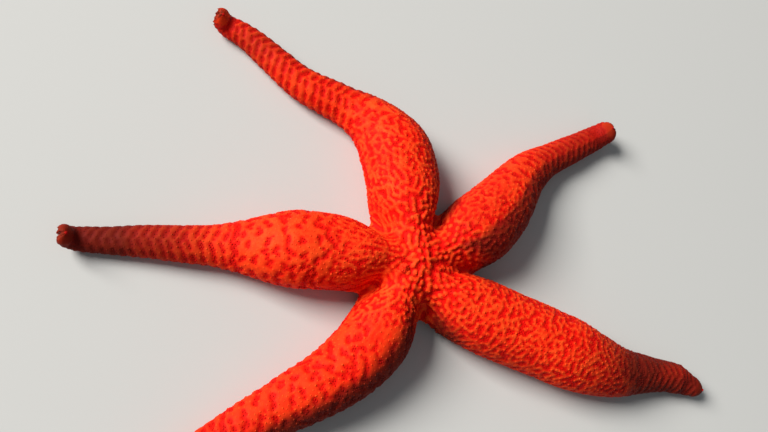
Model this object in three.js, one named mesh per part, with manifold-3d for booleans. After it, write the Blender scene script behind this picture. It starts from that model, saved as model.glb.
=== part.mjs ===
// A red sea star of the Mediterranean rock (Echinaster kind), life size, lying on a level floor with its five
// arms spread and bent and their tips curled up. Millimetres, +Z up, the floor at z = 0.
//
// The body is one closed surface. Every cross-section of an arm is the same outline, scaled by the arm's
// half-width: round above, flat where it rests, with the Λ-shaped ambulacral groove along the middle of the sole.
// The outline is swept along each arm's own bent line. Round the disc the five arms run into one smooth union,
// and there the surface is found by casting rays from the arm's axis. The whole is then parted by thin cuts into
// the disc and three lengths for each arm.

import * as THREE from "three";
import { mergeVertices } from "three/addons/utils/BufferGeometryUtils.js";
import Module from "manifold-3d";

const wasm = await Module();
wasm.setup();

// ---- Driving dimensions -------------------------------------------------------------------------------------

// heading: the way the arm leaves the disc, in degrees from +X. length: along the sole, from the centre.
// swollen: half-width of the stout inner part, which shrinks from stoutEnds to slimStarts into the slim outer
// part, whose half-width runs from slim to tip. bends: turns in plan, in degrees, spread over a stretch of the
// sole. curl: how far the tip turns up, in degrees, over the last curlLength of the sole.
const ARMS = [
  { name: "arm_1", heading: 174.3, length: 112, swollen: 12.2, stoutEnds: 35, slimStarts: 66, slim: 6.2, tip: 3,
    bends: [{ from: 0, to: 40, turn: 6 }, { from: 60, to: 90, turn: 1.4 }], curl: 128, curlLength: 15.5 },
  { name: "arm_2", heading: 96.5, length: 116.5, swollen: 12.6, stoutEnds: 34, slimStarts: 63, slim: 6.8, tip: 3.4,
    bends: [{ from: 22, to: 66, turn: 63 }, { from: 66, to: 84, turn: -18 }, { from: 90, to: 110, turn: 22 }],
    curl: 120, curlLength: 14 },
  { name: "arm_3", heading: 24, length: 105, swollen: 12.3, stoutEnds: 26, slimStarts: 79, slim: 5.5, tip: 4.2,
    bends: [{ from: 0, to: 50, turn: 27.5 }, { from: 48, to: 70, turn: -22.8 }], curl: 92, curlLength: 16 },
  { name: "arm_4", heading: -41, length: 119, swollen: 12.2, stoutEnds: 56, slimStarts: 107, slim: 5.6, tip: 3,
    bends: [{ from: 0, to: 36, turn: 22.5 }, { from: 64, to: 90, turn: 17 }, { from: 96, to: 114, turn: -22 }],
    curl: 40, curlLength: 13 },
  { name: "arm_5", heading: -113.5, length: 114, swollen: 11.5, stoutEnds: 18, slimStarts: 105, slim: 5.3, tip: 4.2,
    bends: [{ from: 7, to: 56, turn: -38 }, { from: 76, to: 96, turn: 15.5 }], curl: 62, curlLength: 15 },
];

// The outline of an arm's section, as shares of the half-width.
const HALF_HEIGHT = 0.86; // from the axis to the crest
const AXIS_HEIGHT = 0.66; // from the flat sole to the axis
const GROOVE_HALF_WIDTH = 0.25; // of the ambulacral groove, at the sole
const GROOVE_DEPTH = 0.44;
const SOLE_ROUNDING = 0.05; // where the sides turn into the sole
const GROOVE_ROUNDING = 0.07; // along the groove's lips

const CENTRE_SHARE = 0.84; // an arm's half-width at the centre, beside that of its swollen part
const CENTRE_REACH = 20; // how far out that narrowing goes
const WAIST = 0.42; // how narrow an arm's back is at the centre, as a share of its full width there
const WAIST_ENDS = 28; // how far out that narrowing goes
const WAIST_LEVELS = [3, 9]; // it comes in between these heights, so low down the arms stay joined by a web
const DOME_RADIUS = 13; // of the disc itself, a flat-topped dome that the arms grow out of
const DOME_HEIGHT = 10.8;
const DOME_FOOT = 6; // the level of its widest place
const UNION_ROUNDING = 2.4; // of the valleys between the arms
const GROOVE_CLOSES = 8; // the stretch before the tip where the groove grows shallower
const GROOVE_LEFT = 0.8; // of it at the tip
const CURL_LATENESS = 1.12; // how much more a tip turns up towards its end
const TIP_ROUNDING = 1.25; // length of an arm's round end, as a share of its half-width there
const FAN_LENGTH = 36; // the stretch of each arm that is found by rays, because the arms run together there
const FAN_AXIS_HEIGHT = 8; // where the rays start over the centre
const FAN_OPENING = 1.4; // how late along that stretch the rays open from the seams

const MOUTH_HALF_WIDTH = 5.6; // of the cone round the mouth, at the sole
const MOUTH_DEPTH = 6;
const MEMBRANE_LEVEL = 2.6; // how far the membrane round the mouth lies above the floor
const DIMPLE = [[0, 1.2], [0.5, 1.1], [1, 0.3], [1.4, 0]]; // of the mouth: shares of its opening, heights
const TURNED_SIDES = 14; // of the mouth and the sieve plate
const MEMBRANE_THICKNESS = 2.2;
const MOUTH_OPENING = 1.0; // radius of the dimple that is the mouth itself

const MADREPORITE_RADIUS = 1.6;
const MADREPORITE_FROM_CENTRE = 6.5;
const MADREPORITE_PROUD = 0.35; // how far it stands above the disc
const MADREPORITE_DEPTH = 2.0;

const EYESPOT_RADIUS = 0.5;
const EYESPOT_FROM_TIP = 0.5; // its centre, measured back along the arm's axis

const GAP = 0.3; // between neighbouring solids
const DISC_CUT = 25; // from the centre to each cut between disc and arm
const ARM_CUTS = [0.47, 0.76]; // where an arm is parted, as shares of its length

// How finely the surface is divided.
const ROUND_COLUMNS = 7; // from the crest to the edge of the sole, on each side
const FAN_ROWS = 8;
const SHAFT_ROWS = 9;
const CURL_PER_ROW = 25; // degrees
const CAP_ROWS = 3;

const RADIANS = Math.PI / 180;

// ---- The line of an arm -------------------------------------------------------------------------------------

const clamp01 = (t) => Math.min(1, Math.max(0, t));
const ease = (t) => clamp01(t) ** 2 * (3 - 2 * clamp01(t));
const between = (a, b, t) => a + (b - a) * t;

// The half-width along the arm, before its end is rounded off.
function shaftHalfWidth(arm, s) {
  const slim = between(arm.slim, arm.tip, clamp01((s - arm.slimStarts) / (arm.length - arm.slimStarts)));
  const outward = between(arm.swollen, slim, ease((s - arm.stoutEnds) / (arm.slimStarts - arm.stoutEnds)));
  return outward * between(CENTRE_SHARE, 1, ease(s / CENTRE_REACH));
}

const capLength = (arm) => TIP_ROUNDING * arm.tip;

function halfWidth(arm, s) {
  const intoCap = clamp01((s - (arm.length - capLength(arm))) / capLength(arm));
  return shaftHalfWidth(arm, s) * Math.sqrt(1 - intoCap ** 2);
}

const headingAt = (arm, s) =>
  RADIANS * arm.bends.reduce((sum, b) => sum + b.turn * ease((s - b.from) / (b.to - b.from)), arm.heading);

const pitchAt = (arm, s) =>
  RADIANS * arm.curl * clamp01((s - (arm.length - arm.curlLength)) / arm.curlLength) ** CURL_LATENESS;

// The arm's frame at s: along it, to its left, and away from its sole.
function directionsAt(arm, s) {
  const heading = headingAt(arm, s);
  const pitch = pitchAt(arm, s);
  const along = new THREE.Vector3(
    Math.cos(pitch) * Math.cos(heading), Math.cos(pitch) * Math.sin(heading), Math.sin(pitch));
  const left = new THREE.Vector3(-Math.sin(heading), Math.cos(heading), 0);
  return { along, left, up: along.clone().cross(left) };
}

// The sole's line is walked in short steps, each along the direction half way through it.
const STEP = 0.25;
for (const arm of ARMS) {
  arm.sole = [new THREE.Vector3()];
  for (let s = 0; s < arm.length; s += STEP) {
    const { along } = directionsAt(arm, s + STEP / 2);
    arm.sole.push(arm.sole.at(-1).clone().addScaledVector(along, STEP));
  }
}

function soleAt(arm, s) {
  const place = Math.min(s / STEP, arm.sole.length - 1.001);
  const before = Math.floor(place);
  return arm.sole[before].clone().lerp(arm.sole[before + 1], place - before);
}

// The middle of the section at s, with the arm's directions there.
function axisAt(arm, s) {
  const directions = directionsAt(arm, s);
  const point = soleAt(arm, s).addScaledVector(directions.up, AXIS_HEIGHT * shaftHalfWidth(arm, s));
  return { point, ...directions };
}

// The straight line from the centre to the arm's root gives the way it leans, and the seams between two arms lie
// half way between their leans.
for (const arm of ARMS) {
  const root = soleAt(arm, DISC_CUT);
  arm.lean = Math.atan2(root.y, root.x);
}
const turnBetween = (from, to) => THREE.MathUtils.euclideanModulo(to - from, 2 * Math.PI);
ARMS.forEach((arm, k) => {
  const next = ARMS[(k + 1) % ARMS.length]; // the arms are listed clockwise
  const gap = turnBetween(next.lean, arm.lean);
  arm.seamRight = arm.lean - gap / 2;
  next.seamLeft = next.lean + gap / 2;
});

// ---- The body as a field: negative inside, positive outside ---------------------------------------------------

const roundMax = (a, b, k) => Math.max(a, b) + (Math.max(k - Math.abs(a - b), 0) ** 2) / (4 * k);
const roundMin = (a, b, k) => -roundMax(-a, -b, k);

// Flesh of a round arm: d is across it, y above its axis, w its half-width, of which narrow is the share left.
const roundField = (d, y, w, narrow = 1) => w * narrow * (Math.hypot(d / w / narrow, y / w / HALF_HEIGHT) - 1);

// The share of an arm's width that is left by the waist at its root: above the web, deep clefts part the arms.
function waistAt(s, z) {
  const [low, high] = WAIST_LEVELS;
  return 1 - (1 - WAIST) * (1 - ease(s / WAIST_ENDS)) * ease((z - low) / (high - low));
}

// The disc's dome: the third powers make it flatter on top and steeper at its rim than an ellipsoid.
const domeField = (r, z) =>
  DOME_HEIGHT * (Math.cbrt((r / DOME_RADIUS) ** 3 + (Math.abs(z - DOME_FOOT) / DOME_HEIGHT) ** 3) - 1);

// Outside the Λ of the groove, which narrows from the sole upwards.
const grooveField = (d, level, w) =>
  GROOVE_HALF_WIDTH * w * (1 - level / (GROOVE_DEPTH * w)) - Math.abs(d);

const soleField = (d, y, w) => roundMax(roundField(d, y, w), -y - AXIS_HEIGHT * w, SOLE_ROUNDING * w);

const sectionField = (d, y, w) =>
  roundMax(soleField(d, y, w), grooveField(d, y + AXIS_HEIGHT * w, w), GROOVE_ROUNDING * w);

// The nearest place on an arm's line in plan, found among the steps of its inner part.
function nearestOn(arm, x, y) {
  let best = { distance: Infinity, s: 0 };
  for (let i = 0; i * STEP <= FAN_LENGTH + 16; i += 2) {
    const distance = Math.hypot(x - arm.sole[i].x, y - arm.sole[i].y);
    if (distance < best.distance) best = { distance, s: i * STEP };
  }
  const around = axisAt(arm, best.s);
  const ahead = (x - around.point.x) * around.along.x + (y - around.point.y) * around.along.y;
  const s = Math.max(0, best.s + ahead);
  const foot = soleAt(arm, s);
  return { s, distance: Math.hypot(x - foot.x, y - foot.y) };
}

function bodyField(p) {
  const near = ARMS.map((arm) => {
    const { s, distance } = nearestOn(arm, p.x, p.y);
    return { distance, w: shaftHalfWidth(arm, s), narrow: waistAt(s, p.z) };
  });
  const flesh = near
    .map(({ distance, w, narrow }) => roundField(distance, p.z - AXIS_HEIGHT * w, w, narrow))
    .concat(domeField(Math.hypot(p.x, p.y), p.z))
    .reduce((a, b) => roundMin(a, b, UNION_ROUNDING));
  const mouth = MOUTH_HALF_WIDTH * (1 - p.z / MOUTH_DEPTH) - Math.hypot(p.x, p.y);
  const w = Math.min(...near.map((n) => n.w));
  const hollows = near.map((n) => grooveField(n.distance, p.z, n.w)).concat(mouth);
  return hollows.reduce(
    (field, hollow) => roundMax(field, hollow, GROOVE_ROUNDING * w),
    roundMax(flesh, -p.z, SOLE_ROUNDING * w));
}

// How far along a ray from inside the body its surface lies: a march to the first change of sign, then halving.
function reach(inside, farthest) {
  const march = farthest / 80;
  let near = 0;
  while (near < farthest && inside(near + march)) near += march;
  let far = near + march;
  for (let i = 0; i < 30; i++) {
    const middle = (near + far) / 2;
    if (inside(middle)) near = middle;
    else far = middle;
  }
  return near;
}

// ---- The surface of the body, as rows of rings ----------------------------------------------------------------

const steps = (from, to, count) => Array.from({ length: count }, (_, i) => between(from, to, (i + 1) / count));

// Angles at the axis of a section of half-width 1, from the crest round one side to the middle of the sole: the
// round side, the two edges of the flat sole, the lip of the groove, half way up its wall, and its top.
const angleTo = (across, height) => Math.atan2(across, height - AXIS_HEIGHT);
const soleEdge = Math.sqrt(1 - (AXIS_HEIGHT / HALF_HEIGHT) ** 2);
const SIDE_ANGLES = [
  0,
  ...steps(0, angleTo(soleEdge, 0), ROUND_COLUMNS),
  angleTo(soleEdge - 1.7 * SOLE_ROUNDING, 0),
  angleTo(GROOVE_HALF_WIDTH + GROOVE_ROUNDING, 0),
  angleTo(0.85 * GROOVE_HALF_WIDTH, 0.15 * GROOVE_DEPTH),
  angleTo(0.5 * GROOVE_HALF_WIDTH, 0.5 * GROOVE_DEPTH),
  Math.PI,
];
const LAST = SIDE_ANGLES.length - 1;
const unitReach = (field) => SIDE_ANGLES.map((angle) =>
  reach((r) => field(r * Math.sin(angle), r * Math.cos(angle), 1) < 0, 1.6));
const GROOVED_REACH = unitReach(sectionField);
const FULL_REACH = unitReach(soleField);

// One ring goes from the crest down the left side, and back up the right side.
function ring(place) {
  const left = SIDE_ANGLES.map((_, i) => place(i, 1));
  const right = SIDE_ANGLES.slice(1, -1).map((_, i) => place(i + 1, -1));
  return [...left, ...right.reverse()];
}

const level = (p) => {
  if (Math.abs(p.z) < 1e-3) p.z = 0; // the sole is truly flat
  return p;
};

// Near the disc: two upright half-planes hang on the arm's axis, and open from the seams to a flat section.
function fanRow(arm, share) {
  const origin = soleAt(arm, share * FAN_LENGTH);
  origin.z = between(FAN_AXIS_HEIGHT, AXIS_HEIGHT * shaftHalfWidth(arm, FAN_LENGTH), share);
  const square = headingAt(arm, FAN_LENGTH);
  const open = share ** FAN_OPENING;
  const leftWay = between(arm.seamLeft, arm.lean + turnBetween(arm.lean, square + Math.PI / 2), open);
  const rightWay = between(arm.seamRight, arm.lean - turnBetween(square - Math.PI / 2, arm.lean), open);
  return ring((i, side) => {
    const way = side > 0 ? leftWay : rightWay;
    const out = Math.sin(SIDE_ANGLES[i]);
    const ray = new THREE.Vector3(out * Math.cos(way), out * Math.sin(way), Math.cos(SIDE_ANGLES[i]));
    if (i === 0 || i === LAST) ray.set(0, 0, i === 0 ? 1 : -1);
    const far = reach((r) => bodyField(origin.clone().addScaledVector(ray, r)) < 0, 36);
    return level(origin.clone().addScaledVector(ray, far));
  });
}

function shaftRow(arm, s) {
  const { point, left, up } = axisAt(arm, s);
  const w = halfWidth(arm, s);
  const closed = (1 - GROOVE_LEFT) * ease((s - (arm.length - GROOVE_CLOSES)) / GROOVE_CLOSES);
  return ring((i, side) => {
    const far = w * between(GROOVED_REACH[i], FULL_REACH[i], closed);
    return level(point.clone()
      .addScaledVector(left, side * far * Math.sin(SIDE_ANGLES[i]))
      .addScaledVector(up, far * Math.cos(SIDE_ANGLES[i])));
  });
}

function armRows(arm) {
  const curlStarts = arm.length - arm.curlLength;
  const capStarts = arm.length - capLength(arm);
  const places = [
    ...steps(FAN_LENGTH, curlStarts, SHAFT_ROWS),
    ...steps(curlStarts, capStarts, Math.ceil(arm.curl / CURL_PER_ROW)),
    ...steps(0, Math.PI / 2, CAP_ROWS).slice(0, -1).map((a) => capStarts + capLength(arm) * Math.sin(a)),
  ];
  const fan = [0, ...steps(0, 1, FAN_ROWS)].map((share) => fanRow(arm, share));
  return [...fan, ...places.map((s) => shaftRow(arm, s))];
}

function bodySolid() {
  const positions = [];
  const index = [];
  for (const arm of ARMS) {
    const rows = armRows(arm);
    const first = positions.length / 3;
    const around = rows[0].length;
    rows.flat().forEach((p) => positions.push(p.x, p.y, p.z));
    const at = (row, column) => first + row * around + (column % around);
    for (let row = 0; row + 1 < rows.length; row++)
      for (let c = 0; c < around; c++) {
        index.push(at(row, c), at(row + 1, c + 1), at(row, c + 1));
        index.push(at(row, c), at(row + 1, c), at(row + 1, c + 1));
      }
    const end = axisAt(arm, arm.length).point;
    positions.push(end.x, end.y, end.z);
    for (let c = 0; c < around; c++) index.push(at(rows.length - 1, c), first + rows.length * around,
      at(rows.length - 1, c + 1));
  }
  const geometry = new THREE.BufferGeometry();
  geometry.setAttribute("position", new THREE.Float32BufferAttribute(positions, 3));
  geometry.setIndex(index);
  return solidOf(geometry);
}

// ---- From geometry to solid and back ----------------------------------------------------------------------------

function solidOf(geometry, matrix = new THREE.Matrix4()) {
  const bare = geometry.clone().applyMatrix4(matrix);
  bare.deleteAttribute("normal");
  bare.deleteAttribute("uv");
  const merged = mergeVertices(bare, 1e-3);
  const corners = merged.index.array;
  const triVerts = [];
  for (let i = 0; i < corners.length; i += 3) {
    const [a, b, c] = corners.slice(i, i + 3);
    if (a !== b && b !== c && c !== a) triVerts.push(a, b, c);
  }
  return new wasm.Manifold(new wasm.Mesh({
    numProp: 3,
    vertProperties: merged.attributes.position.array,
    triVerts: new Uint32Array(triVerts),
  }));
}

function geometryOf(solid) {
  const mesh = solid.getMesh();
  const geometry = new THREE.BufferGeometry();
  geometry.setAttribute("position", new THREE.BufferAttribute(new Float32Array(mesh.vertProperties), 3));
  geometry.setIndex(new THREE.BufferAttribute(new Uint32Array(mesh.triVerts), 1));
  geometry.computeVertexNormals();
  return geometry;
}

// ---- Cuts, sockets and small pieces -----------------------------------------------------------------------------

const TALL = 80; // higher than anything that a cut goes through

// A thin upright wall through point, square to heading, reaching left and right by the given widths.
function cutWall(point, heading, toLeft, toRight) {
  const wall = new THREE.BoxGeometry(GAP, toLeft + toRight, TALL);
  wall.translate(0, (toLeft - toRight) / 2, 0);
  return solidOf(wall, new THREE.Matrix4().makeRotationZ(heading).setPosition(point.x, point.y, 0));
}

function discCut(arm) {
  const middle = new THREE.Vector3(DISC_CUT * Math.cos(arm.lean), DISC_CUT * Math.sin(arm.lean), 0);
  const reachTo = (seam) => DISC_CUT * Math.tan(Math.abs(seam - arm.lean)) + GAP;
  return cutWall(middle, arm.lean, reachTo(arm.seamLeft), reachTo(arm.seamRight));
}

function armCut(arm, share) {
  const s = share * arm.length;
  const width = shaftHalfWidth(arm, s) + 2;
  return cutWall(soleAt(arm, s), headingAt(arm, s), width, width);
}

// A solid turned round the Z axis from a profile of [radius, height] pairs.
function turned(profile, sides) {
  return new THREE.LatheGeometry(profile.map(([r, z]) => new THREE.Vector2(r, z)), sides)
    .rotateX(Math.PI / 2);
}

// The membrane that closes the mouth's cone, with the mouth as a dimple in its middle. A clearance above 0 gives
// the room that is cut out for it, which has no dimple.
function membrane(clearance) {
  const radiusAt = (z) => MOUTH_HALF_WIDTH * (1 - z / MOUTH_DEPTH) - GAP + clearance;
  const low = MEMBRANE_LEVEL - clearance;
  const high = MEMBRANE_LEVEL + MEMBRANE_THICKNESS + clearance;
  const below = clearance > 0 ? [[0, low]] : DIMPLE.map(([share, rise]) => [share * MOUTH_OPENING, low + rise]);
  return turned([...below, [radiusAt(low), low], [radiusAt(high), high], [0, high]], TURNED_SIDES);
}

// The madreporite is a low dome that sits in a socket between two arms.
function madreporite(clearance) {
  const r = MADREPORITE_RADIUS + clearance;
  const proud = MADREPORITE_PROUD + (clearance > 0 ? TALL : 0);
  return turned([[0, -MADREPORITE_DEPTH - clearance], [0.8 * r, -MADREPORITE_DEPTH - clearance],
    [r, -0.7 * MADREPORITE_DEPTH], [r, 0.3 * proud], [0.75 * r, 0.85 * proud], [0, proud]], TURNED_SIDES);
}

const madreporiteWay = ARMS[4].seamRight;
const madreporitePlace = new THREE.Vector3(Math.cos(madreporiteWay), Math.sin(madreporiteWay), 0)
  .multiplyScalar(MADREPORITE_FROM_CENTRE);
madreporitePlace.z = FAN_AXIS_HEIGHT + reach(
  (r) => bodyField(new THREE.Vector3(madreporitePlace.x, madreporitePlace.y, FAN_AXIS_HEIGHT + r)) < 0, 36);

const eyespot = (radius) => new THREE.SphereGeometry(radius, 8, 5).rotateX(Math.PI / 2);
const eyespotPlace = (arm) => axisAt(arm, arm.length - EYESPOT_FROM_TIP).point;

const moved = (v) => new THREE.Matrix4().setPosition(v);

// ---- The group ------------------------------------------------------------------------------------------------

const skin = (name, color) => new THREE.MeshStandardMaterial({ name, color, roughness: 0.55, metalness: 0 });
const DISC_SKIN = skin("disc_skin", 0xe23a16);
const ARM_SKIN = skin("arm_skin", 0xe8330f);
const MADREPORITE_STONE = skin("madreporite", 0xf08a50);
const MOUTH_SKIN = skin("mouth_skin", 0xf0a070);
const EYESPOT_RED = skin("eyespot", 0x9c0a0a);

const group = new THREE.Group();
group.name = "sea_star";

function add(name, geometry, material) {
  const mesh = new THREE.Mesh(geometry, material);
  mesh.name = name;
  group.add(mesh);
}

const tools = [
  ...ARMS.map(discCut),
  ...ARMS.flatMap((arm) => ARM_CUTS.map((share) => armCut(arm, share))),
  ...ARMS.map((arm) => solidOf(eyespot(EYESPOT_RADIUS + GAP), moved(eyespotPlace(arm)))),
  solidOf(membrane(GAP)),
  solidOf(madreporite(GAP), moved(madreporitePlace)),
];
const pieces = tools.reduce((body, tool) => body.subtract(tool), bodySolid()).decompose();

// The piece whose box is centred nearest to a point of the arm's axis.
function pieceAt(point) {
  const away = (piece) => {
    const { min, max } = piece.boundingBox();
    return Math.hypot(...[point.x, point.y, point.z].map((v, i) => v - (min[i] + max[i]) / 2));
  };
  return pieces.reduce((best, piece) => (away(piece) < away(best) ? piece : best));
}

add("disc", geometryOf(pieceAt(new THREE.Vector3(0, 0, FAN_AXIS_HEIGHT))), DISC_SKIN);
add("mouth", membrane(0), MOUTH_SKIN);
add("madreporite", madreporite(0).translate(...madreporitePlace), MADREPORITE_STONE);

for (const arm of ARMS) {
  const ends = [DISC_CUT / arm.length, ...ARM_CUTS, 1];
  ["base", "middle", "tip"].forEach((length, i) => {
    const centre = axisAt(arm, (arm.length * (ends[i] + ends[i + 1])) / 2).point;
    add(`${arm.name}_${length}`, geometryOf(pieceAt(centre)), ARM_SKIN);
  });
  add(`${arm.name}_eyespot`, eyespot(EYESPOT_RADIUS).translate(...eyespotPlace(arm)), EYESPOT_RED);
}

// The frame's origin is on the floor, under the middle of the whole star.
const box = new THREE.Box3().setFromObject(group);
group.position.set(-(box.min.x + box.max.x) / 2, -(box.min.y + box.max.y) / 2, 0);

export default group;
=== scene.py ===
# %% [markdown]
# # A red sea star, life size
#
# This notebook dresses the plain solids of a sea star with what the eye meets on the living animal: an
# orange-red skin with a net of ridges and pits, the small skin-covered spines that stand on the ridges,
# the soft gills in the pits, and the spines and tube feet of the grooves under the arms. The solids are
# loaded first as a fixed frame, and all that is made here lies in that frame, in metres, with +Z up and
# the floor at z = 0.

import math
from dataclasses import dataclass

import bpy
import numpy as np
from mathutils import Matrix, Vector
from mathutils.kdtree import KDTree


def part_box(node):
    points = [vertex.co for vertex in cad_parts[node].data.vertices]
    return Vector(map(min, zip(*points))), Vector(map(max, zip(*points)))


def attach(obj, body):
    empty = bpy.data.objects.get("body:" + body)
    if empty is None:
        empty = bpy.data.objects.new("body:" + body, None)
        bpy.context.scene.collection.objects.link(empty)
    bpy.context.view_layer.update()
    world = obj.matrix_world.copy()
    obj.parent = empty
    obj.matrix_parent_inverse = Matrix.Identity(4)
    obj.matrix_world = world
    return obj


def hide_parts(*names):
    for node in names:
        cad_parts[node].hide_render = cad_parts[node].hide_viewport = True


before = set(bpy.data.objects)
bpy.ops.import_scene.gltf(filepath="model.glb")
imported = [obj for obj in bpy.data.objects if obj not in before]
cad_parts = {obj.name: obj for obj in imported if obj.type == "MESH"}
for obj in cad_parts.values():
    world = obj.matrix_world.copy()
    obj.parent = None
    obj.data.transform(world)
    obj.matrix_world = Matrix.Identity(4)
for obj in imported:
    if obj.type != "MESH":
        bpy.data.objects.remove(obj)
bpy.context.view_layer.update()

# %% [markdown]
# ## Millimetres round the disc
#
# A sea star is easiest to describe from the middle of its disc, in millimetres. The node of the mouth
# is turned round the disc's axis, so the middle of its box gives that axis, and one function carries
# any array of points from there into the frame.

# %% The disc's centre
MM = 0.001
mouth_low, mouth_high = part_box("mouth")
disc_centre = np.array([(mouth_low.x + mouth_high.x) / 2, (mouth_low.y + mouth_high.y) / 2, 0.0])


def in_frame(points):
    """Points in millimetres round the disc's centre, moved into the frame and scaled to metres."""
    return np.asarray(points) * MM + disc_centre


print("disc's centre in mm:", np.round(disc_centre / MM, 2))

# %% [markdown]
# ## Camera, floor and light
#
# The camera looks steeply down on the animal, a little from the lower left, as a diver hanging over it
# would. A camera's matrix has its right, its up and its backward direction as columns, so those three
# vectors are worked out and no angles are needed.

# %% The camera
LOOKS_AT = np.array([-9.7, 14.4, 9.0])
CAMERA_DISTANCE = 253
CAMERA_HEADING = math.radians(40)
CAMERA_STEEPNESS = math.radians(65)
CAMERA_LENS = 38
NEAREST_SEEN = 0.01

ahead = np.array([
    math.cos(CAMERA_STEEPNESS) * math.cos(CAMERA_HEADING),
    math.cos(CAMERA_STEEPNESS) * math.sin(CAMERA_HEADING),
    -math.sin(CAMERA_STEEPNESS),
])
rightward = np.cross(ahead, [0, 1, 0])
rightward /= np.linalg.norm(rightward)
upward = np.cross(rightward, ahead)

camera = bpy.data.objects.new("camera", bpy.data.cameras.new("camera"))
camera.data.lens = CAMERA_LENS
turned = Matrix(np.column_stack([rightward, upward, -ahead]).tolist()).to_4x4()
turned.translation = in_frame(LOOKS_AT - CAMERA_DISTANCE * ahead)
camera.matrix_world = turned
camera.data.clip_start = NEAREST_SEEN
bpy.context.scene.collection.objects.link(camera)
bpy.context.scene.camera = camera
print("camera at", [round(v, 3) for v in camera.matrix_world.translation])

# %% [markdown]
# The main light is one large soft panel, high on the camera's left, so that the arms are bright along
# their upper left sides and fall into deep red on the other. It hangs far off, so that it lights the
# near and the far floor alike. A weaker panel and a dim surrounding keep the shaded sides readable. The
# Standard view keeps the red as strong as it is; the default one would turn it salmon.


# %% The lights
def panel(name, towards, distance, size, watts, tint):
    """A square area light at a distance along the given direction, facing the disc."""
    light = bpy.data.lights.new(name, "AREA")
    light.size = size
    light.energy = watts
    light.color = tint
    lamp = bpy.data.objects.new(name, light)
    back = np.array(towards) / np.linalg.norm(towards)
    side = np.cross([0, 1, 0], back)
    side /= np.linalg.norm(side)
    facing = Matrix(np.column_stack([side, np.cross(back, side), back]).tolist()).to_4x4()
    facing.translation = back * distance
    lamp.matrix_world = facing
    bpy.context.scene.collection.objects.link(lamp)
    print(f"{name}: {watts} W from {distance} m")


panel("key_light", (-0.78, 0.34, 0.6), distance=3.2, size=1.47, watts=182, tint=(1.0, 0.98, 0.95))
panel("fill_light", (0.2, -0.7, 1.0), distance=1.4, size=1.2, watts=0.5, tint=(0.93, 0.97, 1.0))

SKY_COLOUR = (0.86, 0.93, 1.0, 1)
SKY_STRENGTH = 0.16

world = bpy.data.worlds.new("studio")
bpy.context.scene.world = world
world.use_nodes = True
sky = world.node_tree.nodes["Background"].inputs
sky["Color"].default_value = SKY_COLOUR
sky["Strength"].default_value = SKY_STRENGTH
bpy.context.scene.view_settings.view_transform = "Standard"

# %% [markdown]
# ## How a mesh and a scatter are made
#
# Every surface below ends as plain arrays: points, corners of faces, a value or two for each point. One
# function puts such arrays into a mesh, which is far quicker than adding faces one by one. The map
# named OFBake says where on a flat picture each face's colour would go.


# %% From arrays to an object
def mesh_object(name, points, faces, corner_uvs, values):
    """An object from points in millimetres, a list of face arrays (one row of corners a face), the
    map's place of each corner, and named values for each point."""
    mesh = bpy.data.meshes.new(name)
    corners = np.concatenate([f.ravel() for f in faces])
    lengths = np.concatenate([np.full(len(f), f.shape[1]) for f in faces])
    mesh.vertices.add(len(points))
    mesh.vertices.foreach_set("co", in_frame(points).astype(np.float32).ravel())
    mesh.loops.add(len(corners))
    mesh.loops.foreach_set("vertex_index", corners.astype(np.int32))
    mesh.polygons.add(len(lengths))
    starts = np.concatenate([[0], np.cumsum(lengths)[:-1]])
    mesh.polygons.foreach_set("loop_start", starts.astype(np.int32))
    mesh.uv_layers.new(name="OFBake")
    mesh.uv_layers["OFBake"].data.foreach_set("uv", corner_uvs.astype(np.float32).ravel())
    for title, array in values.items():
        stored = mesh.attributes.new(title, "FLOAT", "POINT").data
        stored.foreach_set("value", array.astype(np.float32).ravel())
    mesh.update(calc_edges=True)
    mesh.polygons.foreach_set("use_smooth", np.ones(len(lengths), bool))
    made = bpy.data.objects.new(name, mesh)
    bpy.context.scene.collection.objects.link(made)
    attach(made, "root")
    print(f"{name}: {len(points)} points, {int(np.sum(lengths - 2))} triangles")
    return made


# %% [markdown]
# Pits and spines lie scattered, but never closer than their size allows. That is dart throwing: places
# are tried in a random order, and each one that is taken strikes out all the others round it. A k-d
# tree finds those.


# %% Dart throwing
def tree_of(points):
    """A k-d tree of the points, which answers which of them lie near a place."""
    tree = KDTree(len(points))
    for i, point in enumerate(points):
        tree.insert(point, i)
    tree.balance()
    return tree


def scatter(points, spacing, draws):
    """Indices of points picked in random order; each pick rules out all points nearer than its spacing."""
    tree = tree_of(points)
    free = np.ones(len(points), bool)
    picked = []
    for i in draws.permutation(len(points)):
        if free[i]:
            picked.append(i)
            free[[j for _, j, _ in tree.find_range(points[i], spacing[i])]] = False
    return np.array(picked, int)


# %% [markdown]
# Four short helpers take up what every later cell would repeat: directions of length one, soft borders,
# blends, and arrays put side by side as coordinates.


# %% Helpers
def unit(vectors):
    """The same directions with a length of one."""
    return vectors / np.maximum(np.linalg.norm(vectors, axis=-1, keepdims=True), 1e-12)


def ease(value, start=0, width=1):
    """0 up to start and 1 from one width beyond it. Between them it is t squared times (3 - 2t), with t
    the share of the width, so that both ends are flat."""
    t = np.clip((value - start) / width, 0, 1)
    return t * t * (3 - 2 * t)


def between(a, b, t):
    """The value a share t of the way from a to b."""
    return a + (b - a) * t


def stacked(*parts):
    """Numbers and arrays as the last axis of one array; a single number is repeated."""
    return np.stack(np.broadcast_arrays(*parts), -1)


# %% [markdown]
# ## The five arms
#
# Each arm leaves the disc at its own heading and bends in plan, and its tip curls up. Its half-width
# starts swollen and shrinks to a slim outer part. These few numbers are the same that the solids were
# built from, so the skin follows the solids exactly. Angles are in degrees and lengths in millimetres.

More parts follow.
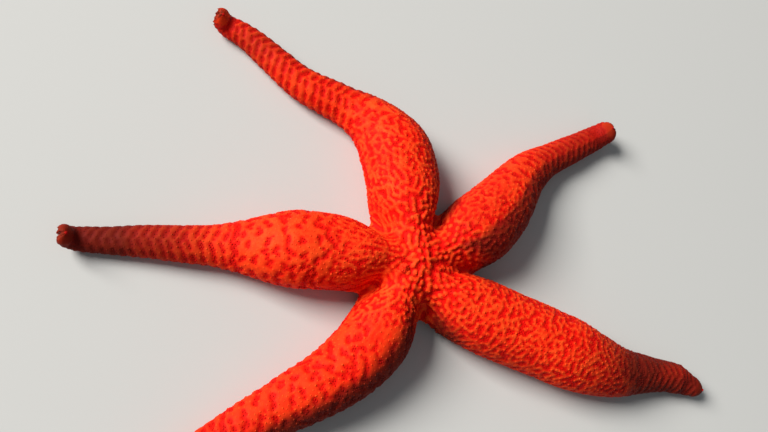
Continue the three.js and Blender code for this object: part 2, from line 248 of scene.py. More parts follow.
# %% Dimensions of the arms
HALF_HEIGHT = 0.86
AXIS_HEIGHT = 0.66
GROOVE_HALF_WIDTH = 0.25
GROOVE_DEPTH = 0.44
SOLE_ROUNDING = 0.05
GROOVE_ROUNDING = 0.07
CENTRE_SHARE = 0.84
CENTRE_REACH = 20
WAIST = 0.42
WAIST_ENDS = 28
WAIST_LEVELS = (3, 9)
DOME_RADIUS = 13
DOME_HEIGHT = 10.8
DOME_FOOT = 6
UNION_ROUNDING = 2.4
GROOVE_CLOSES = 8
GROOVE_LEFT = 0.8
CURL_LATENESS = 1.12
TIP_ROUNDING = 1.25
FAN_LENGTH = 36
FAN_AXIS_HEIGHT = 8
FAN_OPENING = 1.4
MOUTH_HALF_WIDTH = 5.6
MOUTH_DEPTH = 6
DISC_CUT = 25
STEP = 0.25


# %% One arm as a set of formulas
@dataclass
class Arm:
    """Lengths and half-widths in millimetres; a bend is (starts at, ends at, degrees to the left)."""

    name: str
    heading: float
    length: float
    swollen: float
    stout_ends: float
    slim_starts: float
    slim: float
    tip: float
    bends: list
    curl: float
    curl_length: float
    fine_until: float
    dusk_and_shade: float

    def shaft_half_width(self, s):
        """The swollen width fades into the slim one, which runs evenly to the tip; near the centre it
        is less."""
        outer = np.clip((s - self.slim_starts) / (self.length - self.slim_starts), 0, 1)
        slim = between(self.slim, self.tip, outer)
        fade = ease(s, self.stout_ends, self.slim_starts - self.stout_ends)
        return between(self.swollen, slim, fade) * between(CENTRE_SHARE, 1, ease(s, 0, CENTRE_REACH))

    def half_width(self, s):
        """The shaft's half-width, closed at the end by a quarter of an ellipse."""
        cap = TIP_ROUNDING * self.tip
        into_cap = np.clip((s - (self.length - cap)) / cap, 0, 1)
        return self.shaft_half_width(s) * np.sqrt(1 - into_cap**2)

    def heading_at(self, s):
        """The first heading plus every bend's turn, each eased in over its own stretch; in radians."""
        turns = [turn * ease(s, start, end - start) for start, end, turn in self.bends]
        return np.radians(self.heading + sum(turns))

    def directions(self, s):
        """Along the arm, to its left, and away from its sole: three arrays of unit vectors."""
        heading = self.heading_at(s)
        bent = np.clip((s - (self.length - self.curl_length)) / self.curl_length, 0, 1) ** CURL_LATENESS
        pitch = np.radians(self.curl * bent)
        along = stacked(np.cos(pitch) * np.cos(heading), np.cos(pitch) * np.sin(heading), np.sin(pitch))
        left = stacked(-np.sin(heading), np.cos(heading), 0)
        return along, left, np.cross(along, left)

    def lay_out(self):
        """The sole's line is the running sum of short steps, each along the direction half way through
        it."""
        along, _, _ = self.directions(np.arange(STEP / 2, self.length, STEP))
        self.line = np.vstack([np.zeros(3), np.cumsum(along * STEP, axis=0)])
        self.line_s = np.arange(len(self.line)) * STEP
        root = self.sole(np.array([float(DISC_CUT)]))[0]
        self.lean = math.atan2(root[1], root[0])

    def sole(self, s):
        """Points of the sole's line, read off between its steps."""
        return np.stack([np.interp(s, self.line_s, self.line[:, i]) for i in range(3)], -1)


ARMS = [
    Arm("arm_1", 174.3, 112, 12.2, 35, 66, 6.2, 3,
        [(0, 40, 6), (60, 90, 1.4)], 128, 15.5, 25, 0.85),
    Arm("arm_2", 96.5, 116.5, 12.6, 34, 63, 6.8, 3.4,
        [(22, 66, 63), (66, 84, -18), (90, 110, 22)], 120, 14, 52, 0.35),
    Arm("arm_3", 24, 105, 12.3, 26, 79, 5.5, 4.2,
        [(0, 50, 27.5), (48, 70, -22.8)], 92, 16, 42, 0.7),
    Arm("arm_4", -41, 119, 12.2, 56, 107, 5.6, 3,
        [(0, 36, 22.5), (64, 90, 17), (96, 114, -22)], 40, 13, 84, 1.0),
    Arm("arm_5", -113.5, 114, 11.5, 18, 105, 5.3, 4.2,
        [(7, 56, -38), (76, 96, 15.5)], 62, 15, 29, 0.3),
]
for arm in ARMS:
    arm.lay_out()

# %% [markdown]
# The border between two neighbouring arms, a seam, lies half way between the ways they lean. The arms
# are listed clockwise, so each arm's right seam is the next one's left seam.


# %% Seams between the arms
def turn_between(start, end):
    """The turn from one heading to another, counterclockwise, from 0 to a full circle."""
    return (end - start) % (2 * math.pi)


for k, arm in enumerate(ARMS):
    next_arm = ARMS[(k + 1) % len(ARMS)]
    gap = turn_between(next_arm.lean, arm.lean)
    arm.seam_right = arm.lean - gap / 2
    next_arm.seam_left = next_arm.lean + gap / 2
print("arms lean at", [round(math.degrees(arm.lean)) for arm in ARMS])

# %% [markdown]
# ## Where the arms run together
#
# Round the disc the arms melt into one body. That is easiest to say as a field: a number that is
# negative inside the flesh and positive outside. Each arm alone is an elliptic tube, and the disc is a
# low dome. Above the floor the tubes narrow to a waist next to the disc, which cuts the clefts between
# the arms deep. The smooth union of dome and tubes fills the valleys, and a smooth subtraction carves
# the flat sole, the grooves and the mouth. The field needs each point's distance from every arm's line
# in plan, so that is worked out once on a square map and read off between its points.


# %% The section of an arm as a field
def round_max(a, b, k):
    """The larger of two fields, with the edge where they meet rounded over a width k."""
    return np.maximum(a, b) + np.maximum(k - np.abs(a - b), 0) ** 2 / (4 * k)


def round_field(d, y, w, narrow=1.0):
    """An elliptic tube: d across it, y above its axis, w its half-width, of which narrow is the share
    left."""
    return w * narrow * (np.hypot(d / w / narrow, y / w / HALF_HEIGHT) - 1)


def dome_field(r, z):
    """The disc's dome: third powers make it flatter on top and steeper at its rim than an ellipsoid."""
    return DOME_HEIGHT * (np.cbrt((r / DOME_RADIUS) ** 3 + (np.abs(z - DOME_FOOT) / DOME_HEIGHT) ** 3) - 1)


def groove_field(d, level, w):
    """Outside the wedge of the groove, which narrows upwards from the sole."""
    return GROOVE_HALF_WIDTH * w * (1 - level / (GROOVE_DEPTH * w)) - np.abs(d)


def sole_field(d, y, w):
    """The tube, cut flat where it rests."""
    return round_max(round_field(d, y, w), -y - AXIS_HEIGHT * w, SOLE_ROUNDING * w)


def section_field(d, y, w):
    """The tube with its flat sole and its groove."""
    return round_max(sole_field(d, y, w), groove_field(d, y + AXIS_HEIGHT * w, w), GROOVE_ROUNDING * w)


# %% The map of distances and half-widths
MAP_HALF = 58
MAP_STEP = 0.5
MAP_BEYOND = 16
map_axis = np.arange(-MAP_HALF, MAP_HALF + MAP_STEP, MAP_STEP)
map_x, map_y = np.meshgrid(map_axis, map_axis, indexing="ij")


def plan_map(arm):
    """Distance from the arm's line, and at the nearest place on it the half-width and what its waist
    takes."""
    samples = arm.line[: int((FAN_LENGTH + MAP_BEYOND) / STEP) + 1 : 2]
    apart = (map_x[..., None] - samples[:, 0]) ** 2 + (map_y[..., None] - samples[:, 1]) ** 2
    s = np.argmin(apart, axis=-1) * 2 * STEP
    foot, heading = arm.sole(s), arm.heading_at(s)
    s = s + (map_x - foot[..., 0]) * np.cos(heading) + (map_y - foot[..., 1]) * np.sin(heading)
    s = np.maximum(s, 0)
    foot = arm.sole(s)
    taken = (1 - WAIST) * (1 - ease(s, 0, WAIST_ENDS))
    return [np.hypot(map_x - foot[..., 0], map_y - foot[..., 1]), arm.shaft_half_width(s), taken]


arm_map = np.stack([layer for arm in ARMS for layer in plan_map(arm)], -1)
print("map of the disc:", arm_map.shape)


# %% The whole body as a field
JUST_INSIDE = 0.001


def read_map(x, y):
    """The map's layers at any place, blended from the four map points round it."""
    last_place = len(map_axis) - 1 - JUST_INSIDE
    across = np.clip((x + MAP_HALF) / MAP_STEP, 0, last_place)
    upwards = np.clip((y + MAP_HALF) / MAP_STEP, 0, last_place)
    i, j = across.astype(int), upwards.astype(int)
    u, v = (across - i)[..., None], (upwards - j)[..., None]
    lower = between(arm_map[i, j], arm_map[i + 1, j], u)
    upper = between(arm_map[i, j + 1], arm_map[i + 1, j + 1], u)
    return between(lower, upper, v)


def body_field(points):
    """Smooth union of a dome and the five tubes, less the floor, the grooves and the cone of the mouth."""
    x, y, z = np.moveaxis(points, -1, 0)
    layers = read_map(x, y)
    distances, widths, taken = layers[..., 0::3], layers[..., 1::3], layers[..., 2::3]
    low, high = WAIST_LEVELS
    narrow = 1 - taken * ease(z, low, high - low)[..., None]
    tubes = round_field(distances, z[..., None] - AXIS_HEIGHT * widths, widths, narrow)
    flesh = dome_field(np.hypot(x, y), z)
    for k in range(len(ARMS)):
        flesh = -round_max(-flesh, -tubes[..., k], UNION_ROUNDING)
    w = widths.min(-1)
    body = round_max(flesh, -z, SOLE_ROUNDING * w)
    for k in range(len(ARMS)):
        groove = groove_field(distances[..., k], z, widths[..., k])
        body = round_max(body, groove, GROOVE_ROUNDING * w)
    mouth = MOUTH_HALF_WIDTH * (1 - z / MOUTH_DEPTH) - np.hypot(x, y)
    return round_max(body, mouth, GROOVE_ROUNDING * w)


# %% [markdown]
# ## The bare skin as rings
#
# The skin is laid over the body in rings round each arm, from the crest down the left side to the
# middle of the sole and back up the right. Beyond the disc a ring follows from the section's outline.
# Near the disc each of its points is found by a ray from inside: the ray moves on by a share of the
# field's value, which is how far the surface is at least, until nothing is left to go. At the very
# centre the ring lies in the two seams, so neighbouring arms share those points and the skin closes.

# %% Angles of a ring's points
ROUND_COLUMNS = 44
UNDER_COLUMNS = 12
SIDE_COLUMNS = ROUND_COLUMNS + UNDER_COLUMNS
SURELY_OUTSIDE = 1.6
HALVINGS = 40

sole_edge = math.sqrt(1 - (AXIS_HEIGHT / HALF_HEIGHT) ** 2)
under_across = np.array([sole_edge, 0.32, 0.21, 0.12, 0.0])
under_height = np.array([0.0, 0.0, 0.07, 0.22, GROOVE_DEPTH])
under_way = np.concatenate([[0], np.cumsum(np.hypot(np.diff(under_across), np.diff(under_height)))])
under_stops = np.linspace(0, under_way[-1], UNDER_COLUMNS + 1)
under_angles = np.arctan2(np.interp(under_stops, under_way, under_across),
                          np.interp(under_stops, under_way, under_height) - AXIS_HEIGHT)
side_angles = np.concatenate([np.linspace(0, under_angles[0], ROUND_COLUMNS + 1), under_angles[1:]])


def unit_reach(field):
    """Distance from the axis to the outline of a section of half-width 1, at each angle, by halving."""
    near, far = np.zeros(len(side_angles)), np.full(len(side_angles), SURELY_OUTSIDE)
    for _ in range(HALVINGS):
        middle = (near + far) / 2
        inside = field(middle * np.sin(side_angles), middle * np.cos(side_angles), 1.0) < 0
        near, far = np.where(inside, middle, near), np.where(inside, far, middle)
    return near


def whole_ring(side_values):
    """A ring's values from those of one side: down the left, and back up the right without the two
    middles."""
    return np.concatenate([side_values, side_values[-2:0:-1]])


ring_angle = whole_ring(side_angles)
ring_side = np.where(np.arange(2 * SIDE_COLUMNS) <= SIDE_COLUMNS, 1.0, -1.0)
ring_column = whole_ring(np.arange(SIDE_COLUMNS + 1.0))
grooved_reach = whole_ring(unit_reach(section_field))
full_reach = whole_ring(unit_reach(sole_field))
print("points in a ring:", len(ring_angle))


# %% Rings near the disc
RAY_STEPS = 64
RAY_CAUTION = 0.84


def fan_rings(arm, count):
    """Rays in two upright half-planes, which open from the seams to a flat section along the root."""
    share = np.linspace(0, 1, count)[:, None]
    origins = arm.sole(share[:, 0] * FAN_LENGTH)
    shaft_axis = AXIS_HEIGHT * arm.shaft_half_width(float(FAN_LENGTH))
    origins[:, 2] = between(FAN_AXIS_HEIGHT, shaft_axis, share[:, 0])
    square = arm.heading_at(float(FAN_LENGTH))
    left_end = arm.lean + turn_between(arm.lean, square + math.pi / 2)
    right_end = arm.lean - turn_between(square - math.pi / 2, arm.lean)
    opening = share**FAN_OPENING
    way = np.where(ring_side > 0, between(arm.seam_left, left_end, opening),
                   between(arm.seam_right, right_end, opening))
    out = np.sin(ring_angle)
    rays = stacked(out * np.cos(way), out * np.sin(way), np.cos(ring_angle))
    reach = np.zeros(way.shape)
    for _ in range(RAY_STEPS):
        reach -= RAY_CAUTION * body_field(origins[:, None] + reach[..., None] * rays)
    return origins[:, None] + reach[..., None] * rays


# %% Rings of the shaft
def shaft_rings(arm, s, every=1):
    """The section's outline, set square to the arm at each s; every second point only with every=2."""
    _, left, up = arm.directions(s)
    axis = arm.sole(s) + up * (AXIS_HEIGHT * arm.shaft_half_width(s))[:, None]
    closed = (1 - GROOVE_LEFT) * ease(s, arm.length - GROOVE_CLOSES, GROOVE_CLOSES)[:, None]
    far = arm.half_width(s)[:, None] * between(grooved_reach, full_reach, closed)[:, ::every]
    sideways = (ring_side * np.sin(ring_angle))[::every] * far
    upwards = np.cos(ring_angle)[::every] * far
    return axis[:, None] + left[:, None] * sideways[..., None] + up[:, None] * upwards[..., None]


# %% [markdown]
# Fine rings with many points are needed where the arm is stout. Where it is slim, every second point is
# enough, and the rings lie closer instead, because the pits there are short. Between the two kinds one
# row of triangles halves the count.

# %% Rows of every arm
STOUT_ROW = 0.6
SLIM_ROW = 0.405
HALVED_BELOW = 8.6
HALVED_AFTER = FAN_LENGTH + 4
CAP_ROWS = 12
CHECKED_RINGS = 30
MAP_MARGIN = 0.01

ring_points = 2 * SIDE_COLUMNS
point_parts, arm_parts, s_parts, column_parts, side_parts = [], [], [], [], []
quad_parts, triangle_parts = [], []
first_of, stout_rows, row_s = [], [], []
total = 0


def tile_uv(k, s, column, on_left):
    """Places on the map: each side of each arm has its own strip, s along it and the column across it."""
    u = between(MAP_MARGIN, 1 - MAP_MARGIN, s / ARMS[k].length) * 0.5 + np.where(on_left, 0.0, 0.5)
    v = (between(MAP_MARGIN * 2, 1 - MAP_MARGIN * 2, column / SIDE_COLUMNS) + k) / len(ARMS)
    return stacked(u, v)


for k, arm in enumerate(ARMS):
    stretch = np.arange(0, arm.length, STEP)
    halved_at = max(HALVED_AFTER, stretch[arm.shaft_half_width(stretch) > HALVED_BELOW].max())
    fan_count = int(FAN_LENGTH / STOUT_ROW) + 1
    stout_s = np.linspace(FAN_LENGTH, halved_at, int((halved_at - FAN_LENGTH) / STOUT_ROW) + 1)[1:]
    cap_starts = arm.length - TIP_ROUNDING * arm.tip
    slim_s = np.linspace(halved_at, cap_starts, int((cap_starts - halved_at) / SLIM_ROW))[1:]
    cap_s = cap_starts + (arm.length - cap_starts) * np.sin(np.linspace(0, math.pi / 2, CAP_ROWS + 1)[1:-1])
    slim_s = np.concatenate([slim_s, cap_s])

    stout = np.concatenate([fan_rings(arm, fan_count), shaft_rings(arm, stout_s)])
    slim = shaft_rings(arm, slim_s, every=2)
    end_s = np.array([float(arm.length)])
    _, _, end_up = arm.directions(end_s)
    end = arm.sole(end_s) + end_up * AXIS_HEIGHT * arm.shaft_half_width(arm.length)
    all_s = np.concatenate([np.linspace(0, FAN_LENGTH, fan_count), stout_s])

    first_of.append(total)
    stout_rows.append(len(stout))
    row_s.append(np.concatenate([all_s, slim_s]))
    point_parts += [stout.reshape(-1, 3), slim.reshape(-1, 3), end]
    s_parts += [np.repeat(all_s, ring_points), np.repeat(slim_s, SIDE_COLUMNS), [arm.length]]
    in_rings = (column_parts, ring_column, SIDE_COLUMNS / 2), (side_parts, ring_side, 1.0)
    for parts, ring, at_end in in_rings:
        parts += [np.tile(ring, len(stout)), np.tile(ring[::2], len(slim)), [at_end]]

    stout_ids = total + np.arange(len(stout) * ring_points).reshape(len(stout), ring_points)
    slim_ids = stout_ids[-1, -1] + 1 + np.arange(len(slim) * SIDE_COLUMNS).reshape(len(slim), SIDE_COLUMNS)
    end_id = slim_ids[-1, -1] + 1
    total = end_id + 1
    arm_parts.append(np.full(total - first_of[-1], k))

    for ids in (stout_ids, slim_ids):
        ahead_ids = np.roll(ids, -1, axis=1)
        quad_parts.append(stacked(ids[:-1], ids[1:], ahead_ids[1:], ahead_ids[:-1]).reshape(-1, 4))
    fine, coarse = stout_ids[-1], slim_ids[0]
    start, middle, stop = fine[0::2], fine[1::2], np.roll(fine, -2)[0::2]
    after = np.roll(coarse, -1)
    triangle_parts += [stacked(start, coarse, middle), stacked(middle, coarse, after),
                       stacked(middle, after, stop)]
    last = slim_ids[-1]
    triangle_parts.append(stacked(last, end_id, np.roll(last, -1)))

skin_points, skin_arm, skin_s = (np.concatenate(parts) for parts in (point_parts, arm_parts, s_parts))
skin_column, skin_side = np.concatenate(column_parts), np.concatenate(side_parts)
skin_quads, skin_triangles = np.concatenate(quad_parts), np.concatenate(triangle_parts)
left_over = np.abs(body_field(skin_points[: CHECKED_RINGS * ring_points])).max()
print("points:", total, "field left over near the disc:", round(float(left_over), 4), "mm")


# %% [markdown]
# Each corner of a face gets its place on the map before the seams are merged, because two arms keep
# their own strips of the map although they share the points between them.


# %% The map, then the merged seams
def corner_places(faces):
    """The map's places of all corners. A face belongs to the left strip if its own middle lies on the
    left."""
    inner = (skin_column[faces] > 0) & (skin_column[faces] < SIDE_COLUMNS)
    left = np.where(inner, skin_side[faces], 0).sum(1, keepdims=True) > 0
    places = np.zeros(faces.shape + (2,))
    for k in range(len(ARMS)):
        mine = (skin_arm[faces[:, 0]] == k) & (skin_arm[faces[:, 1]] == k)
        places[mine] = tile_uv(k, skin_s[faces[mine]], skin_column[faces[mine]], left[mine])
    return places.reshape(-1, 2)


skin_uvs = np.concatenate([corner_places(skin_quads), corner_places(skin_triangles)])

same_as = np.arange(total)
columns = np.arange(1, SIDE_COLUMNS)
for k in range(len(ARMS)):
    next_first = first_of[(k + 1) % len(ARMS)]
    same_as[first_of[k] + ring_points - columns] = next_first + columns
same_as[first_of] = first_of[0]
same_as[np.array(first_of) + SIDE_COLUMNS] = first_of[0] + SIDE_COLUMNS
kept = np.unique(same_as)
merged = np.searchsorted(kept, same_as)
skin_quads, skin_triangles = merged[skin_quads], merged[skin_triangles]
skin_points, skin_arm, skin_s = skin_points[kept], skin_arm[kept], skin_s[kept]
skin_column, skin_side = skin_column[kept], skin_side[kept]
print("points after the seams are merged:", len(skin_points))


# %% Directions on the skin
def point_normals(points):
    """Each point's outward direction: the sum of the area vectors of the faces round it, made a unit
    vector."""
    total_area = np.zeros_like(points)
    for faces in (skin_quads, skin_triangles):
        corners = [points[faces[:, i]] for i in range(faces.shape[1])]
        area = np.cross(corners[-2] - corners[0], corners[-1] - corners[-3])
        for i in range(faces.shape[1]):
            np.add.at(total_area, faces[:, i], area)
    return unit(total_area)


def of_each_arm(measure):
    """A value or a vector for each skin point, from a function of its arm and of s."""
    parts = [measure(arm, skin_s[skin_arm == k]) for k, arm in enumerate(ARMS)]
    values = np.zeros((len(skin_s), *parts[0].shape[1:]))
    for k, part in enumerate(parts):
        values[skin_arm == k] = part
    return values


bare_normals = point_normals(skin_points)
skin_along = of_each_arm(lambda arm, s: arm.directions(s)[0])
skin_along = unit(skin_along - bare_normals * np.sum(skin_along * bare_normals, -1, keepdims=True))
skin_across = np.cross(bare_normals, skin_along)
skin_width = of_each_arm(Arm.shaft_half_width)
skin_share = skin_column / ROUND_COLUMNS


def point_at(k, s, share, side):
    """Index of the skin point nearest to a place on arm k: s along it, the share of the way from crest
    to sole."""
    row = np.clip(np.searchsorted(row_s[k], s), 0, len(row_s[k]) - 1)
    column = np.round(share * ROUND_COLUMNS).astype(int)
    around = np.where(side > 0, column, ring_points - column) % ring_points
    slim_first = first_of[k] + stout_rows[k] * ring_points
    slim_index = slim_first + (row - stout_rows[k]) * SIDE_COLUMNS + around // 2
    return merged[np.where(row >= stout_rows[k], slim_index, first_of[k] + row * ring_points + around)]


# %% [markdown]
# ## Pits and ridges
#
# Under the skin lies a net of small limy plates. Its bars show as smooth ridges, and its meshes as
# pits, where soft gills come out. Three patterns make it. On the slim outer parts and on the flanks the
# pits stand in rows along the arm, each row half a pit ahead of the next, and each pit is a short slot
# across the arm. On the swollen backs they are wide, lobed and scattered. On the disc and the tight arm
# roots the net itself stands out, coarse on the disc and fine on the arms.
#
# First each skin point learns how far it belongs to the fine net. The border to the other patterns
# wanders, and each arm has its own place for it.

# %% Where the net is fine
FINE_BLEND = 12
FINE_WANDER, WANDER_LENGTH = 4, 14
FLANK_FROM, FLANK_BORDER = 0.52, 0.14
ROOT_ENDS, ROOT_BORDER = 16, 8
WAVE_SPREAD = (0.7, 1.4)
SEED = 41

draws = np.random.default_rng(SEED)


def waves(points, wavelength, draws, count=14):
    """Smooth random hills between about -1 and 1: a sum of sines that run in random directions, of
    about the given length."""
    ways = unit(draws.normal(size=(count, 3)))
    ways = ways * draws.uniform(*WAVE_SPREAD, (count, 1)) * 2 * math.pi / wavelength
    return np.sin(points @ ways.T + draws.uniform(0, 2 * math.pi, count)).sum(-1) * math.sqrt(0.5 / count)


fine_edge = of_each_arm(lambda arm, s: arm.fine_until - s)
fine_edge = fine_edge + FINE_WANDER * waves(skin_points, WANDER_LENGTH, draws)
on_flank = ease(skin_share, FLANK_FROM, FLANK_BORDER) * ease(skin_s, ROOT_ENDS, ROOT_BORDER)
skin_fine = ease(0.5 + fine_edge / FINE_BLEND) * (1 - on_flank)
print("share of the skin with a fine net:", round(float(skin_fine.mean()), 2))

# %% [markdown]
# A pit is a group of round dots in a short line, each a little astray. That gives slots and lobes with
# uneven edges from one simple shape.
#
# A pair in brackets below is the least and the most of a size. Only SPACING_GROWS and LOBED_GROW are
# others: they say from which half width of the arm a size grows, and over how many more millimetres.

# %% Where the pits are
SLIM_WIDTHS = np.array([8.2, 8.2, 8.2, 8.2, 6.9])
SLIM_ROWS = (0.155, 0.45, 0.73, 0.97)
FLANK_ROWS = (0.66, 0.81, 0.96)
SLOTS_FROM, SLOTS_SPARE = 6, 1.5
SLOT_SPACING, SPACING_GROWS = (2.75, 3.1), (5, 6)
SLOT_STEP = 0.1
SLOT_ASTRAY, ROW_ASTRAY = 0.1, 0.014
SLIM_REACH, FLANK_REACH = 0.22, 0.115
SLOT_LENGTH = 0.08
SLOT_RADII = (0.45, 0.92)
RADIUS_SHARE, RADIUS_MORE = 0.15, 0.08
UNEVEN = (0.85, 1.1)
SLOT_LEAN = 0.42
LOBED_SPACING = 3.35
LOBED_SHARE = 0.56
LOBED_OVERLAP = 0.6
LOBED_SIZES = (0.55, 1.15)
LOBED_REACH, LOBED_LENGTH = 1.3, 1.1
LOBED_RADII = (0.52, 0.92)
LOBED_SMALLER, LOBED_GROW = 0.75, (6, 5)
MOSTLY_FINE = 0.7
DOTS = 4
DOT_SOFTNESS = 0.2
DOT_TAPER = 0.4
DOT_ASTRAY = 0.3
DOT_UNEVEN = (0.85, 1.15)


def slots():
    """Rows of pits along each arm: the point, the half-lengths across and along, the dots' radius and
    the lean."""
    found = []
    for k, arm in enumerate(ARMS):
        s = np.arange(SLOTS_FROM, arm.length - SLOTS_SPARE, SLOT_STEP)
        spacing = between(*SLOT_SPACING, ease(arm.shaft_half_width(s), *SPACING_GROWS))
        phase = np.cumsum(SLOT_STEP / spacing)
        whole = np.arange(1, phase[-1] - 1)
        for j, share in enumerate(SLIM_ROWS + FLANK_ROWS):
            for side in (-1, 1):
                shift = 0.5 * ((j + (side > 0)) % 2)
                astray = draws.uniform(-SLOT_ASTRAY, SLOT_ASTRAY, len(whole))
                at = np.interp(whole + shift + astray, phase, s)
                is_slim = arm.shaft_half_width(at) < SLIM_WIDTHS[k]
                at = at[is_slim == (share in SLIM_ROWS)]
                w = arm.shaft_half_width(at)
                point = point_at(k, at, share + draws.uniform(-ROW_ASTRAY, ROW_ASTRAY, len(at)), side)
                half = w * (SLIM_REACH if share in SLIM_ROWS else FLANK_REACH)
                radius = np.clip(RADIUS_SHARE * w + RADIUS_MORE, *SLOT_RADII)
                radius = radius * draws.uniform(*UNEVEN, len(at))
                found.append(stacked(point, half, SLOT_LENGTH, radius, -side * SLOT_LEAN))
    return np.concatenate(found)


def lobed():
    """Scattered wide pits on the swollen backs, from small to large; a large one keeps the others
    further off."""
    stout = skin_width >= SLIM_WIDTHS[skin_arm] - LOBED_OVERLAP
    back = np.flatnonzero((skin_share < LOBED_SHARE) & (skin_fine < MOSTLY_FINE) & stout)
    large = draws.uniform(*LOBED_SIZES, len(back))
    picked = scatter(skin_points[back], LOBED_SPACING * large, draws)
    large, picked = large[picked], back[picked]
    swollen = large * between(LOBED_SMALLER, 1, ease(skin_width[picked], *LOBED_GROW))
    return stacked(picked, LOBED_REACH * swollen, LOBED_LENGTH * swollen, between(*LOBED_RADII, large), 0)


def beside(root, across, along):
    """Places a little way from skin points: across the arm, and along it."""
    return skin_points[root] + skin_across[root] * across[:, None] + skin_along[root] * along[:, None]


pits = np.concatenate([slots(), lobed()])
reach, pit_length, pit_radius, lean = (pits[:, i : i + 1] for i in range(1, 5))
dot_line = np.linspace(-1, 1, DOTS)
across_shift = dot_line + draws.uniform(-DOT_ASTRAY, DOT_ASTRAY, (len(pits), DOTS))
along_shift = draws.uniform(-1, 1, (len(pits), DOTS)) * pit_length + across_shift * reach * lean
dot_taper = 1 - DOT_TAPER * np.abs(dot_line)
dot_radius = (pit_radius * dot_taper * draws.uniform(*DOT_UNEVEN, (len(pits), DOTS))).ravel()
dots = beside(np.repeat(pits[:, 0].astype(int), DOTS), (across_shift * reach).ravel(), along_shift.ravel())
print("pits:", len(pits), "dots:", len(dots))

# %% [markdown]
# The bars of the fine net join plates that lie scattered over it. Two plates are joined if no third one
# is nearer to both of them, which leaves a net of open meshes. Along a favoured direction distances
# count less, so more bars run that way: along the arm on most roots, and across the long swollen arm.
#
# The plates are wider than the bars. On the disc few bars are left and the plates are coarse, so they
# stand out as beads there. On the disc's side towards the first arm the beads give way to the fine net.

# %% The fine net's plates and bars
PLATE_SPACING = 1.5
DISC_PLATE_SPACING = 1.8
BAR_HALF_WIDTH = 0.5
DISC_BAR_HALF_WIDTH = 0.66
BAR_TO_PLATE = (0.8, 1.2)
BARS_KEPT = 0.7
DISC_BARS_KEPT = 0.2
DISC_REACH, DISC_BORDER = 15, 9
NEIGHBOURS = 9
NEARER = 0.999
LONGEST_BAR = 1.9
FAVOUR = np.array([0.78, 0.5, 0.6, -0.5, 0.3])
SOFT_SIDE = 0.9
SOFT_SIDE_REACH = 12
SLIGHTLY_FINE = 0.2

on_disc = 1 - ease(np.hypot(skin_points[:, 0], skin_points[:, 1]), DISC_REACH, DISC_BORDER)
soft_way = np.array([math.cos(ARMS[0].lean), math.sin(ARMS[0].lean)])
on_disc = on_disc * (1 - SOFT_SIDE * ease(skin_points[:, :2] @ soft_way, 0, SOFT_SIDE_REACH))
plate_spacing = between(PLATE_SPACING, DISC_PLATE_SPACING, on_disc)
tight = np.flatnonzero(skin_fine > SLIGHTLY_FINE)
plates = tight[scatter(skin_points[tight], plate_spacing[tight], draws)]


def net_bars(points, ways, favour, longest):
    """Pairs of points with a bar between them, each pair once."""
    tree = tree_of(points)
    near = np.array([[j for _, j, _ in tree.find_n(point, NEIGHBOURS + 1)][1:] for point in points])

    def measure(apart, way, favour):
        """A distance that counts less along the way, or more where the favour is negative."""
        return np.sqrt(np.maximum((apart**2).sum(-1) - favour * (apart * way).sum(-1) ** 2, 0))

    to_near = measure(points[near] - points[:, None], ways[:, None], favour[:, None])
    near_to_near = points[near][:, None] - points[near][:, :, None]
    around = measure(near_to_near, ways[:, None, None], favour[:, None, None])
    blocked = (np.maximum(to_near[:, None, :], around) < to_near[..., None] * NEARER).any(-1)
    first, place = np.nonzero(~blocked & (to_near < longest[:, None]))
    pairs = np.sort(stacked(first, near[first, place]), -1)
    return np.unique(pairs, axis=0)


favour = FAVOUR[skin_arm[plates]] * (1 - on_disc[plates])
longest = LONGEST_BAR * plate_spacing[plates]
bars = plates[net_bars(skin_points[plates], skin_along[plates], favour, longest)]
kept_bar = draws.uniform(0, 1, len(bars)) < between(BARS_KEPT, DISC_BARS_KEPT, on_disc[bars[:, 0]])
bars = np.concatenate([bars[kept_bar], stacked(plates, plates)])
bar_width = np.repeat(BAR_TO_PLATE, [kept_bar.sum(), len(plates)])
bar_width = bar_width * between(BAR_HALF_WIDTH, DISC_BAR_HALF_WIDTH, on_disc[bars[:, 0]])
print("plates:", len(plates), "bars:", kept_bar.sum())

# %% [markdown]
# For dots and bars alike the depth inside a pit's edge comes from a soft maximum, the logarithm of a
# sum of exponentials. It melts what lies close together into one smooth shape. The depth is negative on
# the ridges.

# %% Depth inside the pits
BLOCK = 448
REACH = 3.0
BAR_SOFTNESS = 0.12
NEARLY_NOTHING = 1e-9
DEPTH_LIMIT = 1.2
SOLE_FROM, SOLE_BORDER = 0.985, 0.05
SOLE_RIDGE = -0.8


def by_blocks(points, seeds, measure, nothing):
    """Blocks of points that follow each other are measured only against the seeds near them."""
    values = np.full(len(points), nothing)
    for start in range(0, len(points), BLOCK):
        block = points[start : start + BLOCK]
        near = np.all((seeds > block.min(0) - REACH) & (seeds < block.max(0) + REACH), axis=1)
        if near.any():
            values[start : start + BLOCK] = measure(block, near)
    return values


def inside_dots(block, near):
    """Soft maximum over the dots of radius less distance."""
    away = np.linalg.norm(block[:, None] - dots[near], axis=-1)
    return DOT_SOFTNESS * np.log(np.exp((dot_radius[near] - away) / DOT_SOFTNESS).sum(-1) + NEARLY_NOTHING)


def outside_bars(block, near):
    """Soft distance from the bars near a point, each of its own half-width."""
    start, stop = skin_points[bars[near, 0]], skin_points[bars[near, 1]]
    run = stop - start
    from_start = block[:, None] - start
    share = np.clip((from_start * run).sum(-1) / ((run * run).sum(-1) + NEARLY_NOTHING), 0, 1)
    away = np.linalg.norm(from_start - share[..., None] * run, axis=-1)
    return -BAR_SOFTNESS * np.log(np.exp((bar_width[near] - away) / BAR_SOFTNESS).sum(-1) + NEARLY_NOTHING)


